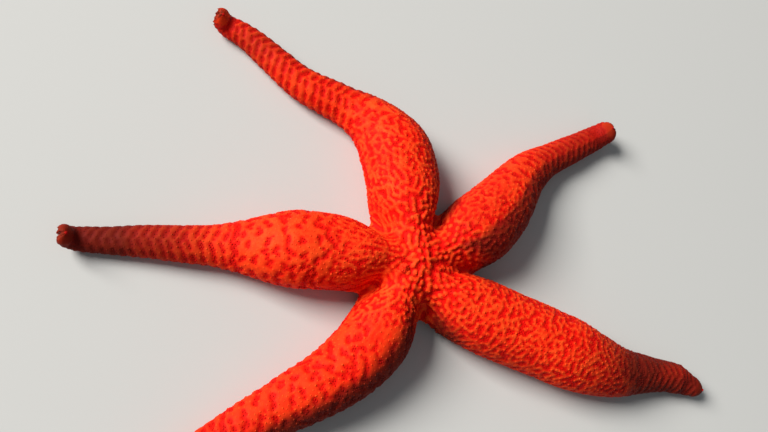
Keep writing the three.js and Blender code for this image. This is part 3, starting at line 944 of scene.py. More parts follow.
pit_depth = by_blocks(skin_points, dots, inside_dots, -REACH)
net_depth = by_blocks(skin_points, skin_points[bars].mean(1), outside_bars, REACH)
under = ease(skin_share, SOLE_FROM, SOLE_BORDER)
inside_pit = np.clip(between(pit_depth, net_depth, skin_fine), -DEPTH_LIMIT, DEPTH_LIMIT)
inside_pit = between(inside_pit, SOLE_RIDGE, under)
print("share of the back inside pits:", round(float((inside_pit[skin_share < 1] > 0).mean()), 2))

# %% [markdown]
# ## Dusk and painted shade
#
# This sea star is painted darker and browner on its outer arms, partly as its own duskier tips and partly
# as painted shade where the light falls off. Low on the flanks turned from the light, in the clefts
# between the arms and on the soles of the curled tips, the darkening is painted shade. One value for
# each point, the dusk and shade, says how much, and skin, spines and gills all read it. Each arm has its
# own amounts: for its left and right flank, after how far each side is turned from the light, and for
# the cleft on its right. The soles of the curled tips are nearly all painted shade, with faint stripes
# across.
#
# A flank's painted shade starts some way down from the crest, or just beyond the crest where that start is
# negative. In the cell below, each pair in brackets says where a soft border starts and how wide it is.

# %% Dusk
OUTER_ARM = (0.42, 0.4)
OUTER_DRIFT, DRIFT_LENGTH = 0.3, 22
CLEFT_LEVEL, CLEFT_END, CLEFT_CENTRE = (0.36, 0.34), (14, 14), (1, 6)
CLEFT_SHADE = np.array([0.1, 0.9, 1.0, 0.95, 0.3])
LEFT_FLANK_SHADE = np.array([0.05, 0.0, 0.2, 0.15, 0.95])
RIGHT_FLANK_SHADE = np.array([0.05, 0.55, 0.85, 0.2, 0.1])
FLANK_SHADE_STARTS = np.array([0.2, 0.15, -0.02, 0.2, 0.06])
FLANK_SHADE_BORDERS = np.array([0.36, 0.36, 0.15, 0.36, 0.26])
FLANK_SHADE_RIPPLE, RIPPLE_LENGTH = 0.02, 7
FLANK_ROOT = (4, 12)
CURL_SHARE = 0.5
CURL_SOLE = (0.7, 0.25)
TIP_SOLE_SHADE = 0.85
TIP_STRIPES = 0.15
TIP_STRIPE_LENGTH = 1.7


def outer_dusk_and_shade(arm, s):
    """The arm's own darkening along its outer part: partly duskier tips, partly painted shade where the
    light falls off.
    """
    start, border = OUTER_ARM
    return arm.dusk_and_shade * ease(s, start * arm.length, border * arm.length)


def curled(arm, s):
    """0 before the arm's end curls up, and 1 from half way along the curl."""
    return ease(s - arm.length + arm.curl_length, 0, CURL_SHARE * arm.curl_length)


# Painted shade: the clefts between the arms are darkened in colour, where shade falls.
in_cleft = ease(skin_share, *CLEFT_LEVEL) * (1 - ease(skin_s, *CLEFT_END)) * ease(skin_s, *CLEFT_CENTRE)
cleft_shade = CLEFT_SHADE[skin_arm - (skin_side > 0)] * in_cleft
# Painted shade low on each flank turned away from the light, more on some arms and sides than on others.
rightward = -skin_side * skin_share + FLANK_SHADE_RIPPLE * waves(skin_points, RIPPLE_LENGTH, draws)
starts, borders = FLANK_SHADE_STARTS[skin_arm], FLANK_SHADE_BORDERS[skin_arm]
right_flank_shade = RIGHT_FLANK_SHADE[skin_arm] * ease(rightward, starts, borders)
left_flank_shade = LEFT_FLANK_SHADE[skin_arm] * ease(-rightward, starts, borders)
low_flank_shade = np.maximum(right_flank_shade, left_flank_shade) * ease(skin_s, *FLANK_ROOT)
# The outer arms: partly the animal's own duskier tips, partly painted shade where the light falls off.
dusk_and_shade = of_each_arm(outer_dusk_and_shade) * (1 + OUTER_DRIFT * waves(skin_points, DRIFT_LENGTH, draws))
on_curl = of_each_arm(curled)
# Painted shade on the upturned soles of the curled tips, with faint stripes across.
striped_tip_shade = TIP_SOLE_SHADE + TIP_STRIPES * np.sin(2 * math.pi * skin_s / TIP_STRIPE_LENGTH)
for part in (low_flank_shade, cleft_shade, striped_tip_shade * on_curl * ease(skin_share, *CURL_SOLE)):
    dusk_and_shade = np.maximum(dusk_and_shade, part)
dusk_and_shade = np.clip(dusk_and_shade, 0, 1)
print("dusk on average:", round(float(dusk_and_shade.mean()), 2))

# %% [markdown]
# ## The finished skin
#
# The bare skin is now sunk along its own outward directions: everywhere by the height of the little
# spines that will stand on it, so that their tips reach the solids' surface, and further inside the
# pits. How deep pits and net are cut differs from arm to arm. Slow hills keep the arms from looking
# turned on a lathe. One mesh covers the disc and all the arms, so there is no joint to see.
#
# The mesh carries what the paint needs to know of each point: how far it lies inside a pit, in the fine
# net, on the sole, in the groove, whose floor is painted dark as shade, its dusk and painted shade, and how
# light its ridges get, which is less towards some arms' ends.

# %% Relief
INSET = 0.22
INSET_SOLE = 0.5
INSET_GROOVE = 0.1
HILLS, HILL_LENGTH = 0.14, 15
PIT_EDGE = (-0.36, 0.8)
NET_DEPTH = np.array([0.2, 0.36, 0.36, 0.38, 0.3])
DISC_NET_DEPTH = 0.7
PIT_SHARE = np.array([0.75, 1.0, 0.85, 0.9, 0.85])
DEPTH_SHARE, DEPTH_MORE, PIT_DEPTHS = 0.03, 0.22, (0.34, 0.55)
GROOVE_COLUMN, GROOVE_BORDER = 1.09 * ROUND_COLUMNS, 3
CURLED_GROOVE = 0.8
LIGHT, NET_LIGHTER = 0.6, 0.36
LIGHT_SHARE = np.array([1.0, 0.95, 0.8, 0.95, 0.6])
LIGHT_BORDER = (8, 16)
MAP_REACH = 0.48

sunk = ease(inside_pit, *PIT_EDGE)
net_floor = between(NET_DEPTH[skin_arm], DISC_NET_DEPTH, on_disc)
pit_floor = PIT_SHARE[skin_arm] * np.clip(DEPTH_SHARE * skin_width + DEPTH_MORE, *PIT_DEPTHS)
in_groove = ease(skin_column, GROOVE_COLUMN, GROOVE_BORDER)
inset = INSET + HILLS * (1 + waves(skin_points, HILL_LENGTH, draws))
inset = between(inset, between(INSET_SOLE, INSET_GROOVE, in_groove), under)
drop = inset + sunk * between(pit_floor, net_floor, skin_fine) * (1 - under)
skin_points = skin_points - bare_normals * drop[:, None]
skin_normals = point_normals(skin_points)

light = NET_LIGHTER * skin_fine + LIGHT
light = light * between(1, LIGHT_SHARE[skin_arm], ease(skin_s, *LIGHT_BORDER))
# Painted shade: the groove's floor is painted dark red, less where the tip curls up.
groove_shade = in_groove * (1 - CURLED_GROOVE * on_curl)
skin_values = {"pit": inside_pit, "net": skin_fine, "light": light, "under": under, "groove": groove_shade,
               "dusk_and_shade": dusk_and_shade}
skin = mesh_object("skin", skin_points, [skin_quads, skin_triangles], skin_uvs, skin_values)
FLESH_NODES = ["disc"] + [f"{arm.name}_{part}" for arm in ARMS for part in ("base", "middle", "tip")]
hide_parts(*FLESH_NODES)

# %% [markdown]
# ## Small things in great numbers
#
# Spines, gills and tube feet are all pegs: a profile turned round an axis. One peg is worked out once,
# with a few dozen faces, and then set at every root by arrays: stretched along the root's own three
# directions and moved there. That gives one joined mesh for each arm. Each peg's colours come from one
# tiny patch of the map, at its root's place on the unrolled arm.

# %% A peg, and a field of pegs
PATCH = 0.003
SLENDER, SLENDER_WIDTHS = 0.6, (3.2, 4)
NEARLY_LEVEL = 0.05


def end_faces(ids, count):
    """Triangles that close the first and the last ring of a turned shape with its last two points."""
    (first, last), (first_ahead, last_ahead) = ids[[0, -1]], np.roll(ids[[0, -1]], -1, axis=1)
    return np.concatenate([stacked(count - 2, first_ahead, first), stacked(count - 1, last, last_ahead)])


def peg(profile, sides):
    """A profile of (radius, height) pairs turned round Z and closed by the points of its first and last
    pair."""
    turn = np.arange(sides) * 2 * math.pi / sides
    rings = [stacked(r * np.cos(turn), r * np.sin(turn), z) for r, z in profile[1:-1]]
    ends = [[0, 0, profile[0][1]], [0, 0, profile[-1][1]]]
    points = np.concatenate(rings + [ends])
    ids = np.arange(len(rings) * sides).reshape(len(rings), sides)
    ahead_ids = np.roll(ids, -1, axis=1)
    lower = stacked(ids[:-1], ahead_ids[:-1], ahead_ids[1:]).reshape(-1, 3)
    upper = stacked(ids[:-1], ahead_ids[1:], ids[1:]).reshape(-1, 3)
    return points, np.concatenate([lower, upper, end_faces(ids, len(points))])


def plant(name, shape, roots, axes, ways, sizes, uvs, marks, slot):
    """Joined pegs: each is stretched by its sizes along its way, across it and along its axis, at its
    root."""
    points, faces = shape
    axes = unit(axes)
    ways = unit(ways - axes * np.sum(ways * axes, -1, keepdims=True))
    across = np.cross(axes, ways)
    frames = np.stack([ways * sizes[:, 0:1], across * sizes[:, 1:2], axes * sizes[:, 2:3]], 1)
    placed = np.einsum("vi,nij->nvj", points, frames) + roots[:, None]
    joined = (faces[None] + len(points) * np.arange(len(roots))[:, None, None]).reshape(-1, 3)
    spread = points[:, :2] / np.abs(points[:, :2]).max() * PATCH / 2
    patch = (uvs[:, None] + spread[None]).reshape(-1, 2)
    rise = np.tile(np.clip(points[:, 2] / points[:, 2].max(), 0, 1), len(roots))
    values = {"rise": rise} | {title: np.repeat(mark, len(points)) for title, mark in marks.items()}
    made = mesh_object(name, placed.reshape(-1, 3), [joined], patch[joined].reshape(-1, 2), values)
    return made


coat = {"spines": [], "gills": [], "groove_spines": [], "tube_feet": []}
skin_map = stacked(of_each_arm(lambda arm, s: s / arm.length),
                   0.5 + MAP_REACH * skin_side * skin_column / SIDE_COLUMNS)


def coat_arm(kind, k, shape, root, places, axes, ways, sizes, tints, slot="skin"):
    """Pegs of one kind on one arm, with the dusk and painted shade and the place on the map of the skin at
    their roots.
    """
    marks = {"tint": tints, "dusk_and_shade": dusk_and_shade[root]}
    made = plant(f"{ARMS[k].name}_{kind}", shape, places, axes, ways, sizes, skin_map[root], marks, slot)
    coat[kind].append(made)


def coat_arms(kind, shape, *root_parts):
    """Pegs of one kind on every arm. The arrays hold the roots of all arms, and each arm takes its own."""
    for k in range(len(ARMS)):
        mine = skin_arm[root_parts[0]] == k
        coat_arm(kind, k, shape, *(part[mine] for part in root_parts))


def slender(root):
    """Pegs are smaller towards the arm ends: a share of their full size, from the arm's half-width."""
    return between(SLENDER, 1, ease(skin_width[root], *SLENDER_WIDTHS))


def above_floor(lengths, places, axes, gap):
    """Lengths of pegs, less where a tip would come nearer to the floor than the gap."""
    return np.minimum(lengths, (places[:, 2] - gap) / np.maximum(-axes[:, 2], NEARLY_LEVEL))


SPINE = peg([(0, -1.1), (1.2, -1.0), (1.12, -0.15), (0.86, 0.25), (0.6, 0.62), (0.36, 0.9), (0, 1.0)], 8)
GILL = peg([(0, -0.3), (0.9, -0.1), (1.0, 0.45), (0.72, 0.85), (0, 1.0)], 6)
print("faces of a spine:", len(SPINE[1]), "and of a gill:", len(GILL[1]))

# %% [markdown]
# ### The little spines
#
# This sea star's spines are short and blunt and wrapped in skin, so they look like small soft cones
# that grow out of the ridges. On the sole they stand in a low, even field that the animal rests on.

# %% Spines
FLOOR_GAP = 0.06
RIDGE_LEVEL = -0.2
SPINE_SPACING = (1.05, 1.5)
SPINE_STRENGTH = (0.75, 1.1)
SPINE_LEAN = 0.16
RIDGE_SPINE = (0.3, 0.25, 0.17)
FLATTER, FLATTER_FLANK = 0.4, (0.25, 0.3)
SOLE_SHARE, SOLE_HEIGHT, SOLE_SPACING = 0.99, 0.1, 1.0
SOLE_SPINE = (0.3, 0.3, INSET_SOLE - FLOOR_GAP)
UPRIGHT_SHARE = 0.97

ridge = np.flatnonzero((inside_pit < RIDGE_LEVEL) & (skin_share < SOLE_FROM))
ridge = ridge[scatter(skin_points[ridge], draws.uniform(*SPINE_SPACING, len(ridge)), draws)]
low = (skin_share > SOLE_SHARE) & (skin_column < GROOVE_COLUMN) & (skin_points[:, 2] > SOLE_HEIGHT)
low = np.flatnonzero(low)
low = low[scatter(skin_points[low], np.full(len(low), SOLE_SPACING), draws)]
root = np.concatenate([ridge, low])
share = skin_share[root]
turn = draws.uniform(0, 2 * math.pi, len(root))[:, None]
way = skin_along[root] * np.cos(turn) + skin_across[root] * np.sin(turn)
strength = draws.uniform(*SPINE_STRENGTH, len(root)) * slender(root)
flattened = between(1, FLATTER, ease(share, *FLATTER_FLANK) * (share < SOLE_FROM))
size = np.concatenate([np.tile(RIDGE_SPINE, (len(ridge), 1)), np.tile(SOLE_SPINE, (len(low), 1))])
size = size * stacked(strength, strength, np.clip(strength, 0, 1) * flattened)
tint = draws.uniform(0, 1, len(root))
lean = draws.normal(scale=SPINE_LEAN, size=(len(root), 3)) * (share < UPRIGHT_SHARE)[:, None]
axis = unit(skin_normals[root] + lean)
size[:, 2] = above_floor(size[:, 2], skin_points[root], axis, FLOOR_GAP)
print("spines:", len(ridge), "+", len(low))
coat_arms("spines", SPINE, root, skin_points[root], axis, way, size, tint)

# %% [markdown]
# ### The gills
#
# In every pit stands a bunch of soft gills, thin-walled fingers that show the darker body inside. They
# are half drawn in, so they stay below the ridges and make the pits look dark and velvety.

# %% Gills in the pits
GILL_LEVEL = 0.12
GILL_SPACING = 0.66
GILL_ASTRAY = 0.16
GILL_LEAN = 0.2
GILL_STRENGTH = (0.75, 1.2)
GILL_SIZE = np.array([0.26, 0.26, 0.17])
GILL_TINT, NET_GILL_TINT = 0.3, 0.7

root = np.flatnonzero((inside_pit > GILL_LEVEL) & (skin_share < 1))
root = root[scatter(skin_points[root], np.full(len(root), GILL_SPACING), draws)]
place = beside(root, *draws.uniform(-GILL_ASTRAY, GILL_ASTRAY, (2, len(root))))
size = GILL_SIZE * (draws.uniform(*GILL_STRENGTH, len(root)) * slender(root))[:, None]
axis = skin_normals[root] + draws.normal(scale=GILL_LEAN, size=(len(root), 3))
tint = GILL_TINT * draws.uniform(0, 1, len(root)) + NET_GILL_TINT * skin_fine[root]
print("gills:", len(root))
coat_arms("gills", GILL, root, place, axis, skin_along[root], size, tint)

# %% [markdown]
# ### Under the arms
#
# Along the middle of each arm's underside runs the groove with two rows of tube feet, tipped with
# suckers, and on its lips stand combs of slender spines that can close over it. Where a tip curls up
# they come into sight. On the floor they stay inside the groove, so nothing pokes through what the
# animal rests on.

# %% Groove spines and tube feet
COMB_SPINE = peg([(0, -0.4), (1.0, -0.2), (1.0, 0.3), (0.8, 0.75), (0.5, 0.95), (0, 1.0)], 6)
SUCKER = [(1.0, 0.84), (1.0, 0.94), (0.5, 1.0), (0, 0.93)]
TUBE_FOOT = peg([(0, -0.3), (0.75, -0.1), (0.62, 0.4), (0.66, 0.7)] + SUCKER, 8)
COMB_ROWS = ((1.105, 0.0), (1.07, 0.55))
COMB_FROM, COMB_SPARE, COMB_SPACING = 7, 1.6, 1.15
COMB_INWARD, COMB_DOWN, COMB_OUT = 0.85, 0.28, 0.25
COMB_LIFT, COMB_GAP = 0.3, 0.14
COMB_THICKNESS, COMB_WIDTH, COMB_LENGTHS, COMB_STOUT = 0.24, 0.3, (0.7, 1.5), (3.5, 5)
COMB_ASTRAY, FOOT_ASTRAY = 0.08, 0.1
FEET_SHARE = 1.19
FEET_FROM, FEET_SPARE, FEET_SPACING, FEET_SHIFT = 8, 0.8, 1.9, 0.3
FOOT_RADIUS, FOOT_LENGTHS, FOOT_CEILING = 0.42, (0.5, 3.2), 0.12
FOOT_SPREAD = 0.1


def groove_row(k, share, s):
    """Roots along one line of the groove, on both sides of it, at the places s."""
    sides, s = np.repeat([-1.0, 1.0], len(s)), np.tile(s, 2)
    return point_at(k, s, np.full(len(s), share), sides), sides, s


for k, arm in enumerate(ARMS):
    s = np.arange(COMB_FROM, arm.length - COMB_SPARE, COMB_SPACING)
    rows = [groove_row(k, share, s + shift) for share, shift in COMB_ROWS]
    root, side, s = [np.concatenate(parts) for parts in zip(*rows)]
    along, left, up = arm.directions(s)
    astray = draws.normal(scale=COMB_ASTRAY, size=(len(root), 3))
    inward = -left * side[:, None]
    axis = unit(inward * COMB_INWARD - up * COMB_DOWN + skin_normals[root] * COMB_OUT + astray)
    stout = ease(arm.shaft_half_width(s), *COMB_STOUT)
    length = between(*COMB_LENGTHS, stout) * draws.uniform(*UNEVEN, len(root))
    lifted = skin_points[root] + up * COMB_LIFT
    size = stacked(COMB_THICKNESS, COMB_WIDTH, above_floor(length, lifted, axis, COMB_GAP))
    coat_arm("groove_spines", k, COMB_SPINE, root, lifted, axis, along, size,
             draws.uniform(0, 1, len(root)))

    s = np.arange(FEET_FROM, arm.length - FEET_SPARE * arm.curl_length, FEET_SPACING)
    root, side, s = groove_row(k, FEET_SHARE, s + FEET_SHIFT)
    along, left, up = arm.directions(s)
    axis = -up + FOOT_SPREAD * left * side[:, None] + draws.normal(scale=FOOT_ASTRAY, size=(len(root), 3))
    room = np.sum((skin_points[root] - arm.sole(s)) * up, -1)
    size = stacked(FOOT_RADIUS, FOOT_RADIUS, np.clip(room - FOOT_CEILING, *FOOT_LENGTHS))
    coat_arm("tube_feet", k, TUBE_FOOT, root, skin_points[root], axis, along, size,
             draws.uniform(0, 1, len(root)), "mouth_skin")

# %% [markdown]
# ### Mouth and sieve plate
#
# The mouth is a hole in a soft round membrane under the disc. It is a profile turned round the disc's
# axis, with folds that run to the hole. The sieve plate on the back, where the animal lets water in, is
# a low dome with winding furrows. Both replace their plain solids. A closed profile gives each a top
# and a bottom in one grid.


# %% A turned piece with a pattern
TURN_COLUMNS = 72


def turned_piece(name, radii, heights, push, centre):
    """A closed profile turned round an upright axis; push moves each ring's points up, from radius and
    angle."""
    angle = np.arange(TURN_COLUMNS) * 2 * math.pi / TURN_COLUMNS
    raised = heights[:, None] + push(radii[:, None], angle)
    rings = stacked(radii[:, None] * np.cos(angle), radii[:, None] * np.sin(angle), raised)
    inner = rings[1:-1]
    points = np.concatenate([inner.reshape(-1, 3), rings[[0, -1]].mean(1)]) + centre
    ids = np.arange(len(inner) * TURN_COLUMNS).reshape(len(inner), TURN_COLUMNS)
    ahead_ids = np.roll(ids, -1, axis=1)
    quads = stacked(ids[:-1], ahead_ids[:-1], ahead_ids[1:], ids[1:]).reshape(-1, 4)
    ends = end_faces(ids, len(points))
    ring_of = np.concatenate([np.repeat(np.arange(1, len(radii) - 1), TURN_COLUMNS), [0, len(radii) - 1]])
    share = ring_of / (len(radii) - 1)
    turn = np.concatenate([np.tile(angle, len(inner)), [0, 0]])
    place = stacked(0.5 + MAP_REACH * share * np.cos(turn), 0.5 + MAP_REACH * share * np.sin(turn))
    corner_uvs = np.concatenate([place[quads].reshape(-1, 2), place[ends].reshape(-1, 2)])
    made = mesh_object(name, points, [quads, ends], corner_uvs, {"rise": share})
    return made


def box_middle(node):
    """The middle of a node's box and half its width and height, in millimetres round the disc's centre."""
    low, high = (np.array(corner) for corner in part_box(node))
    return ((low + high) / 2 - disc_centre) / MM, (high - low) / 2 / MM


# %% The mouth
MOUTH_HOLE = 1.0
FOLDS, FOLD_HEIGHT, FOLD_LIFT = 20, 0.11, 0.08
FOLDS_FROM, FOLDS_OVER = 0.8, 2.1
ORAL_TURNS = np.radians([-24, -12, -4, 4, 12, 24])
ORAL_RADIUS, ORAL_LEVEL, ORAL_DROOP = 5.2, 0.8, 0.12
ORAL_SIZE = (0.3, 0.36, 1.9)
ORAL_MAP_REACH = 0.4

mouth_middle, mouth_half = box_middle("mouth")
mouth_r = np.array([0, 0.3, 0.7, MOUTH_HOLE, 1.3, 1.8, 2.3, 2.7, mouth_half[0], 2.7, 1.5, 0])
mouth_z = np.array([1.5, 1.4, 1.0, 0.4, 0.08, 0.2, 0.32, 0.42, 0.6, 1.9, 2.1, 2.1]) - mouth_half[2]


def mouth_folds(radius, angle):
    """Folds that run towards the hole, deepest half way out."""
    half_way = np.sin(math.pi * np.clip((radius - FOLDS_FROM) / FOLDS_OVER, 0, 1))
    return FOLD_HEIGHT * np.sin(FOLDS * angle) * half_way + FOLD_LIFT


mouth = turned_piece("mouth_membrane", mouth_r, mouth_z, mouth_folds, mouth_middle)
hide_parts("mouth")

oral_angle = np.concatenate([arm.seam_right + ORAL_TURNS for arm in ARMS])
oral_out = stacked(np.cos(oral_angle), np.sin(oral_angle), 0)
oral = plant(
    "oral_spines", COMB_SPINE, oral_out * ORAL_RADIUS + [0, 0, ORAL_LEVEL], -oral_out - [0, 0, ORAL_DROOP],
    np.cross(oral_out, [0, 0, 1]), np.tile(ORAL_SIZE, (len(oral_angle), 1)),
    0.5 + ORAL_MAP_REACH * oral_out[:, :2],
    {"tint": draws.uniform(0, 1, len(oral_angle))}, "skin")

# %% The sieve plate
SIEVE_RINGS = 18
BASE_RINGS, BASE_FROM, EDGE_LEVEL = 5, 0.4, -0.9
FURROW_DEPTH, FURROWS, FURROW_SWING, FURROW_TURNS = 0.13, 11, 2.6, 4
PLAIN_RINGS, RIM_RINGS = 8, 4
DOME_POWER = 0.6
FURROWS_FADE = 2.2

sieve_middle, sieve_half = box_middle("madreporite")
dome_share = np.cos(np.linspace(0, math.pi / 2, SIEVE_RINGS))[1:]
dome_level = np.linspace(0, 1, SIEVE_RINGS)[1:] ** DOME_POWER
sieve_r = sieve_half[0] * np.concatenate([[0], np.linspace(BASE_FROM, 1, BASE_RINGS), dome_share])
sieve_z = np.concatenate([np.full(BASE_RINGS, -1.0), [EDGE_LEVEL], dome_level]) * sieve_half[2]


def furrows(radius, angle):
    """Winding furrows: a wave round the plate whose phase swings with the radius, only on the upper
    face."""
    depth = np.clip(np.arange(len(radius)) - PLAIN_RINGS, 0, RIM_RINGS)[:, None] / RIM_RINGS
    outer = np.clip(radius / sieve_half[0] * FURROWS_FADE, 0, 1)
    wave = np.sin(FURROWS * angle + FURROW_SWING * np.sin(FURROW_TURNS * radius))
    return -FURROW_DEPTH * depth * outer * (1 + wave)


sieve = turned_piece("sieve_plate", sieve_r, sieve_z, furrows, sieve_middle)
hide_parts("madreporite")

# %% [markdown]
# ## Shader maths as sums
#
# A material is a tree of nodes, but a formula is easier to read. A Wire wraps an output socket, so that
# `1 - mask * 0.5` adds the Math nodes it needs. A Paint is one material: its node method adds any other
# node, with its settings set before its sockets, because some settings change which sockets there are.


# %% Wires and paints
class Wire:
    """An output socket that can stand in sums; each operator adds a Math node to its paint."""

    def __init__(self, paint, socket):
        self.paint, self.socket = paint, socket

    def math(self, operation, first, second):
        return self.paint.node("ShaderNodeMath", {"operation": operation}, {0: first, 1: second})

    def __add__(self, other):
        return self.math("ADD", self, other)

    def __sub__(self, other):
        return self.math("SUBTRACT", self, other)

    def __rsub__(self, other):
        return self.math("SUBTRACT", other, self)

    def __mul__(self, other):
        return self.math("MULTIPLY", self, other)

    __radd__ = __add__
    __rmul__ = __mul__


class Paint:
    """One material. Its surface is a single Principled shader."""

    def __init__(self, name):
        self.material = bpy.data.materials.new(name)
        self.material.use_nodes = True
        self.tree = self.material.node_tree
        self.shader = self.tree.nodes["Principled BSDF"]
        self.place = self.node("ShaderNodeTexCoord", output="Object")

    def put(self, socket, value):
        """A link from a Wire, or a plain value."""
        if isinstance(value, Wire):
            self.tree.links.new(value.socket, socket)
        else:
            socket.default_value = value

    def node(self, kind, settings=None, values=None, output=0):
        """Any node: its settings first, then its sockets' values or links; gives one output as a Wire."""
        made = self.tree.nodes.new(kind)
        for title, value in (settings or {}).items():
            setattr(made, title, value)
        for title, value in (values or {}).items():
            self.put(made.inputs[title], value)
        return Wire(self, made.outputs[output])

    def value(self, title):
        """A value stored for each point of the mesh."""
        return self.node("ShaderNodeAttribute", {"attribute_name": title}, output="Fac")

    def noise(self, size, detail=3.0, roughness=0.55):
        """Soft noise from about 0.25 to 0.75 with features of the given size in millimetres."""
        values = {"Vector": self.place, "Scale": 1 / (size * MM), "Detail": detail, "Roughness": roughness}
        return self.node("ShaderNodeTexNoise", values=values)

    def smooth(self, value, low, high):
        """0 below low and 1 above high, eased between."""
        settings = {"interpolation_type": "SMOOTHSTEP"}
        values = {"Value": value, "From Min": low, "From Max": high}
        return self.node("ShaderNodeMapRange", settings, values)

    def mix(self, share, first, second):
        """The first colour where share is 0 and the second where it is 1."""
        return self.node("ShaderNodeMix", {"data_type": "RGBA"}, {0: share, 6: first, 7: second}, output=2)

    def bump(self, height, strength, distance):
        """The surface's direction, tilted as if it were raised by height times the distance in
        millimetres."""
        values = {"Height": height, "Strength": strength, "Distance": distance * MM}
        return self.node("ShaderNodeBump", values=values)

    def finish(self, **sockets):
        """Sets the shader's sockets; a keyword's underscores stand for spaces."""
        for title, value in sockets.items():
            self.put(self.shader.inputs[title.replace("_", " ")], value)
        return self.material


def colour(red, green, blue):
    """A linear colour from a paint chart's three numbers from 0 to 255."""
    return tuple(((c / 255 + 0.055) / 1.055) ** 2.4 for c in (red, green, blue)) + (1.0,)


# %% [markdown]
# ## The finishes
#
# The live colour is one hot orange-red in different strengths. Ridges are orange where the skin is
# tight over the plates, and their crests are painted lighter, partly as a painted highlight. Pits are a
# deep pure red, the underside is paler, and the groove's floor is painted dark red as shade. Spine tips
# are painted lighter, partly as a painted highlight. The dusk blends all of these into a brownish
# maroon: partly duskier tips, partly painted shade on the flanks turned from the light, in the clefts and
# on the curled tips' soles. Slow noise drifts over skin, spines and gills alike, since all read the same
# place in space, so the markings run on from one to the other. A finer noise frays the edges of the pits.
# The skin is matt, with only a faint gleam.
#
# In the cells below, a noise is given by its size, its detail and its roughness, a bump by its strength
# and its height, and a range by where a blend starts and where it ends.

# %% Colours
RIDGE = colour(236, 36, 10)
RIDGE_LIGHT = colour(255, 84, 28)
# Spine tips are painted lighter: partly the spines' own paler tips, partly a painted highlight.
SPINE_TIP_AND_HIGHLIGHT = colour(250, 60, 19)
NET_GAP = colour(220, 13, 4)
PIT = colour(222, 18, 5)
PIT_DEEP = colour(206, 13, 4)
GILL_RED = colour(202, 13, 4)
GILL_TIP = colour(214, 16, 5)
SOLE_ORANGE = colour(236, 74, 30)
# Painted shade: the groove's floor is coloured dark red for the shade that falls in it.
GROOVE_SHADE_RED = colour(104, 14, 9)
FOOT_RED = colour(150, 46, 30)
FOOT_PALE = colour(226, 128, 84)
SIEVE_ORANGE = colour(248, 62, 24)
SIEVE_FURROW = colour(214, 26, 9)
EYE_RED = colour(120, 6, 6)
FLOOR_PALE = colour(200, 200, 197)
# One brownish maroon for the duskier tips and for the painted shade on flanks, clefts and curled soles.
DUSK_AND_SHADE_COLOUR = colour(80, 22, 14)
DUSK_AND_SHADE_SHARE = 0.9
DRIFT_NOISE, DRIFT_RANGE = (9.0, 2.0), (0.36, 0.64)
MATT = 0.58
FAINT_GLEAM = 0.07


def drifting(paint):
    """The slow drift that the whole coat shares."""
    return paint.smooth(paint.noise(*DRIFT_NOISE), *DRIFT_RANGE)


def dusked_and_shaded(paint, fresh):
    """The darker, browner parts of the arms, partly duskier tips and partly painted shade, which the whole
    coat shares too.
    """
    return paint.mix(paint.value("dusk_and_shade") * DUSK_AND_SHADE_SHARE, fresh, DUSK_AND_SHADE_COLOUR)


# %% Skin
FRAY_NOISE, GRAIN_NOISE, LUMP_NOISE = (0.8, 3.0, 0.6), (0.3, 2.0, 0.6), (1.7, 1.0)
# How far ridge crests are painted lighter: partly the tight skin's orange, partly a painted highlight.
CREST_HIGHLIGHT_RANGE, LUMP_RANGE = (-0.1, -0.6), (0.4, 0.6)
HOLLOW_RANGE, EDGE_RANGE = (0.15, 0.75), (-0.12, 0.2)
DRIFT_LIGHT, CREST_HIGHLIGHT, LUMP_LIGHT = 0.3, 0.35, 0.35
EDGE_FRAY = 0.7
NET_GAP_SHARE = 0.8
GRAIN_ROUGHNESS = 0.1
SKIN_BUMP = (0.55, 0.12)


def paint_skin():
    """Ridges with crests painted lighter, partly as a painted highlight, pits and net gaps by depth; then
    the sole, the dusk and painted shade, and the groove's painted shade over them.
    """
    paint = Paint("skin")
    drift = drifting(paint)
    fray = paint.noise(*FRAY_NOISE)
    grain = paint.noise(*GRAIN_NOISE)
    inside = paint.value("pit") + (fray - 0.5) * EDGE_FRAY
    # Ridge crests are painted lighter: partly the tight skin's orange, partly a painted highlight.
    crest = paint.smooth(inside, *CREST_HIGHLIGHT_RANGE)
    lumps = paint.smooth(paint.noise(*LUMP_NOISE), *LUMP_RANGE)
    light = (drift * DRIFT_LIGHT + crest * CREST_HIGHLIGHT + lumps * LUMP_LIGHT) * paint.value("light")
    ridge = paint.mix(light, RIDGE, RIDGE_LIGHT)
    hollow = paint.mix(paint.smooth(inside, *HOLLOW_RANGE), PIT, PIT_DEEP)
    hollow = paint.mix(paint.value("net") * NET_GAP_SHARE, hollow, NET_GAP)
    net = paint.mix(paint.smooth(inside, *EDGE_RANGE), ridge, hollow)
    # The dusk and painted shade go over the skin's colours, then the groove's painted shade.
    sole = dusked_and_shaded(paint, paint.mix(paint.value("under"), net, SOLE_ORANGE))
    whole = paint.mix(paint.value("groove"), sole, GROOVE_SHADE_RED)
    normal = paint.bump(grain + fray, *SKIN_BUMP)
    return paint.finish(Base_Color=whole, Roughness=MATT + GRAIN_ROUGHNESS * grain,
                        Specular_IOR_Level=FAINT_GLEAM, Normal=normal)


# %% Spines, gills and feet
FOOT_DRIFT, FOOT_LIGHT, FOOT_TINT = 0.45, 0.3, 0.25
TIP_TINT = 0.3
PEG_NOISE, PEG_BUMP = (0.25, 2.0), (0.35, 0.08)


def paint_peg(name, foot_colour, drift_colour, tip_colour, tip_from, tip_to):
    """A peg's finish: the foot's colour drifts like the skin's, and the tip's comes in with the rise."""
    paint = Paint(name)
    share = drifting(paint) * FOOT_DRIFT + FOOT_LIGHT + paint.value("tint") * FOOT_TINT
    foot = paint.mix(share, foot_colour, drift_colour)
    tip = paint.smooth(paint.value("rise") + (paint.value("tint") - 0.5) * TIP_TINT, tip_from, tip_to)
    normal = paint.bump(paint.noise(*PEG_NOISE), *PEG_BUMP)
    return paint.finish(Base_Color=dusked_and_shaded(paint, paint.mix(tip, foot, tip_colour)), Roughness=MATT,
                        Specular_IOR_Level=FAINT_GLEAM, Normal=normal)


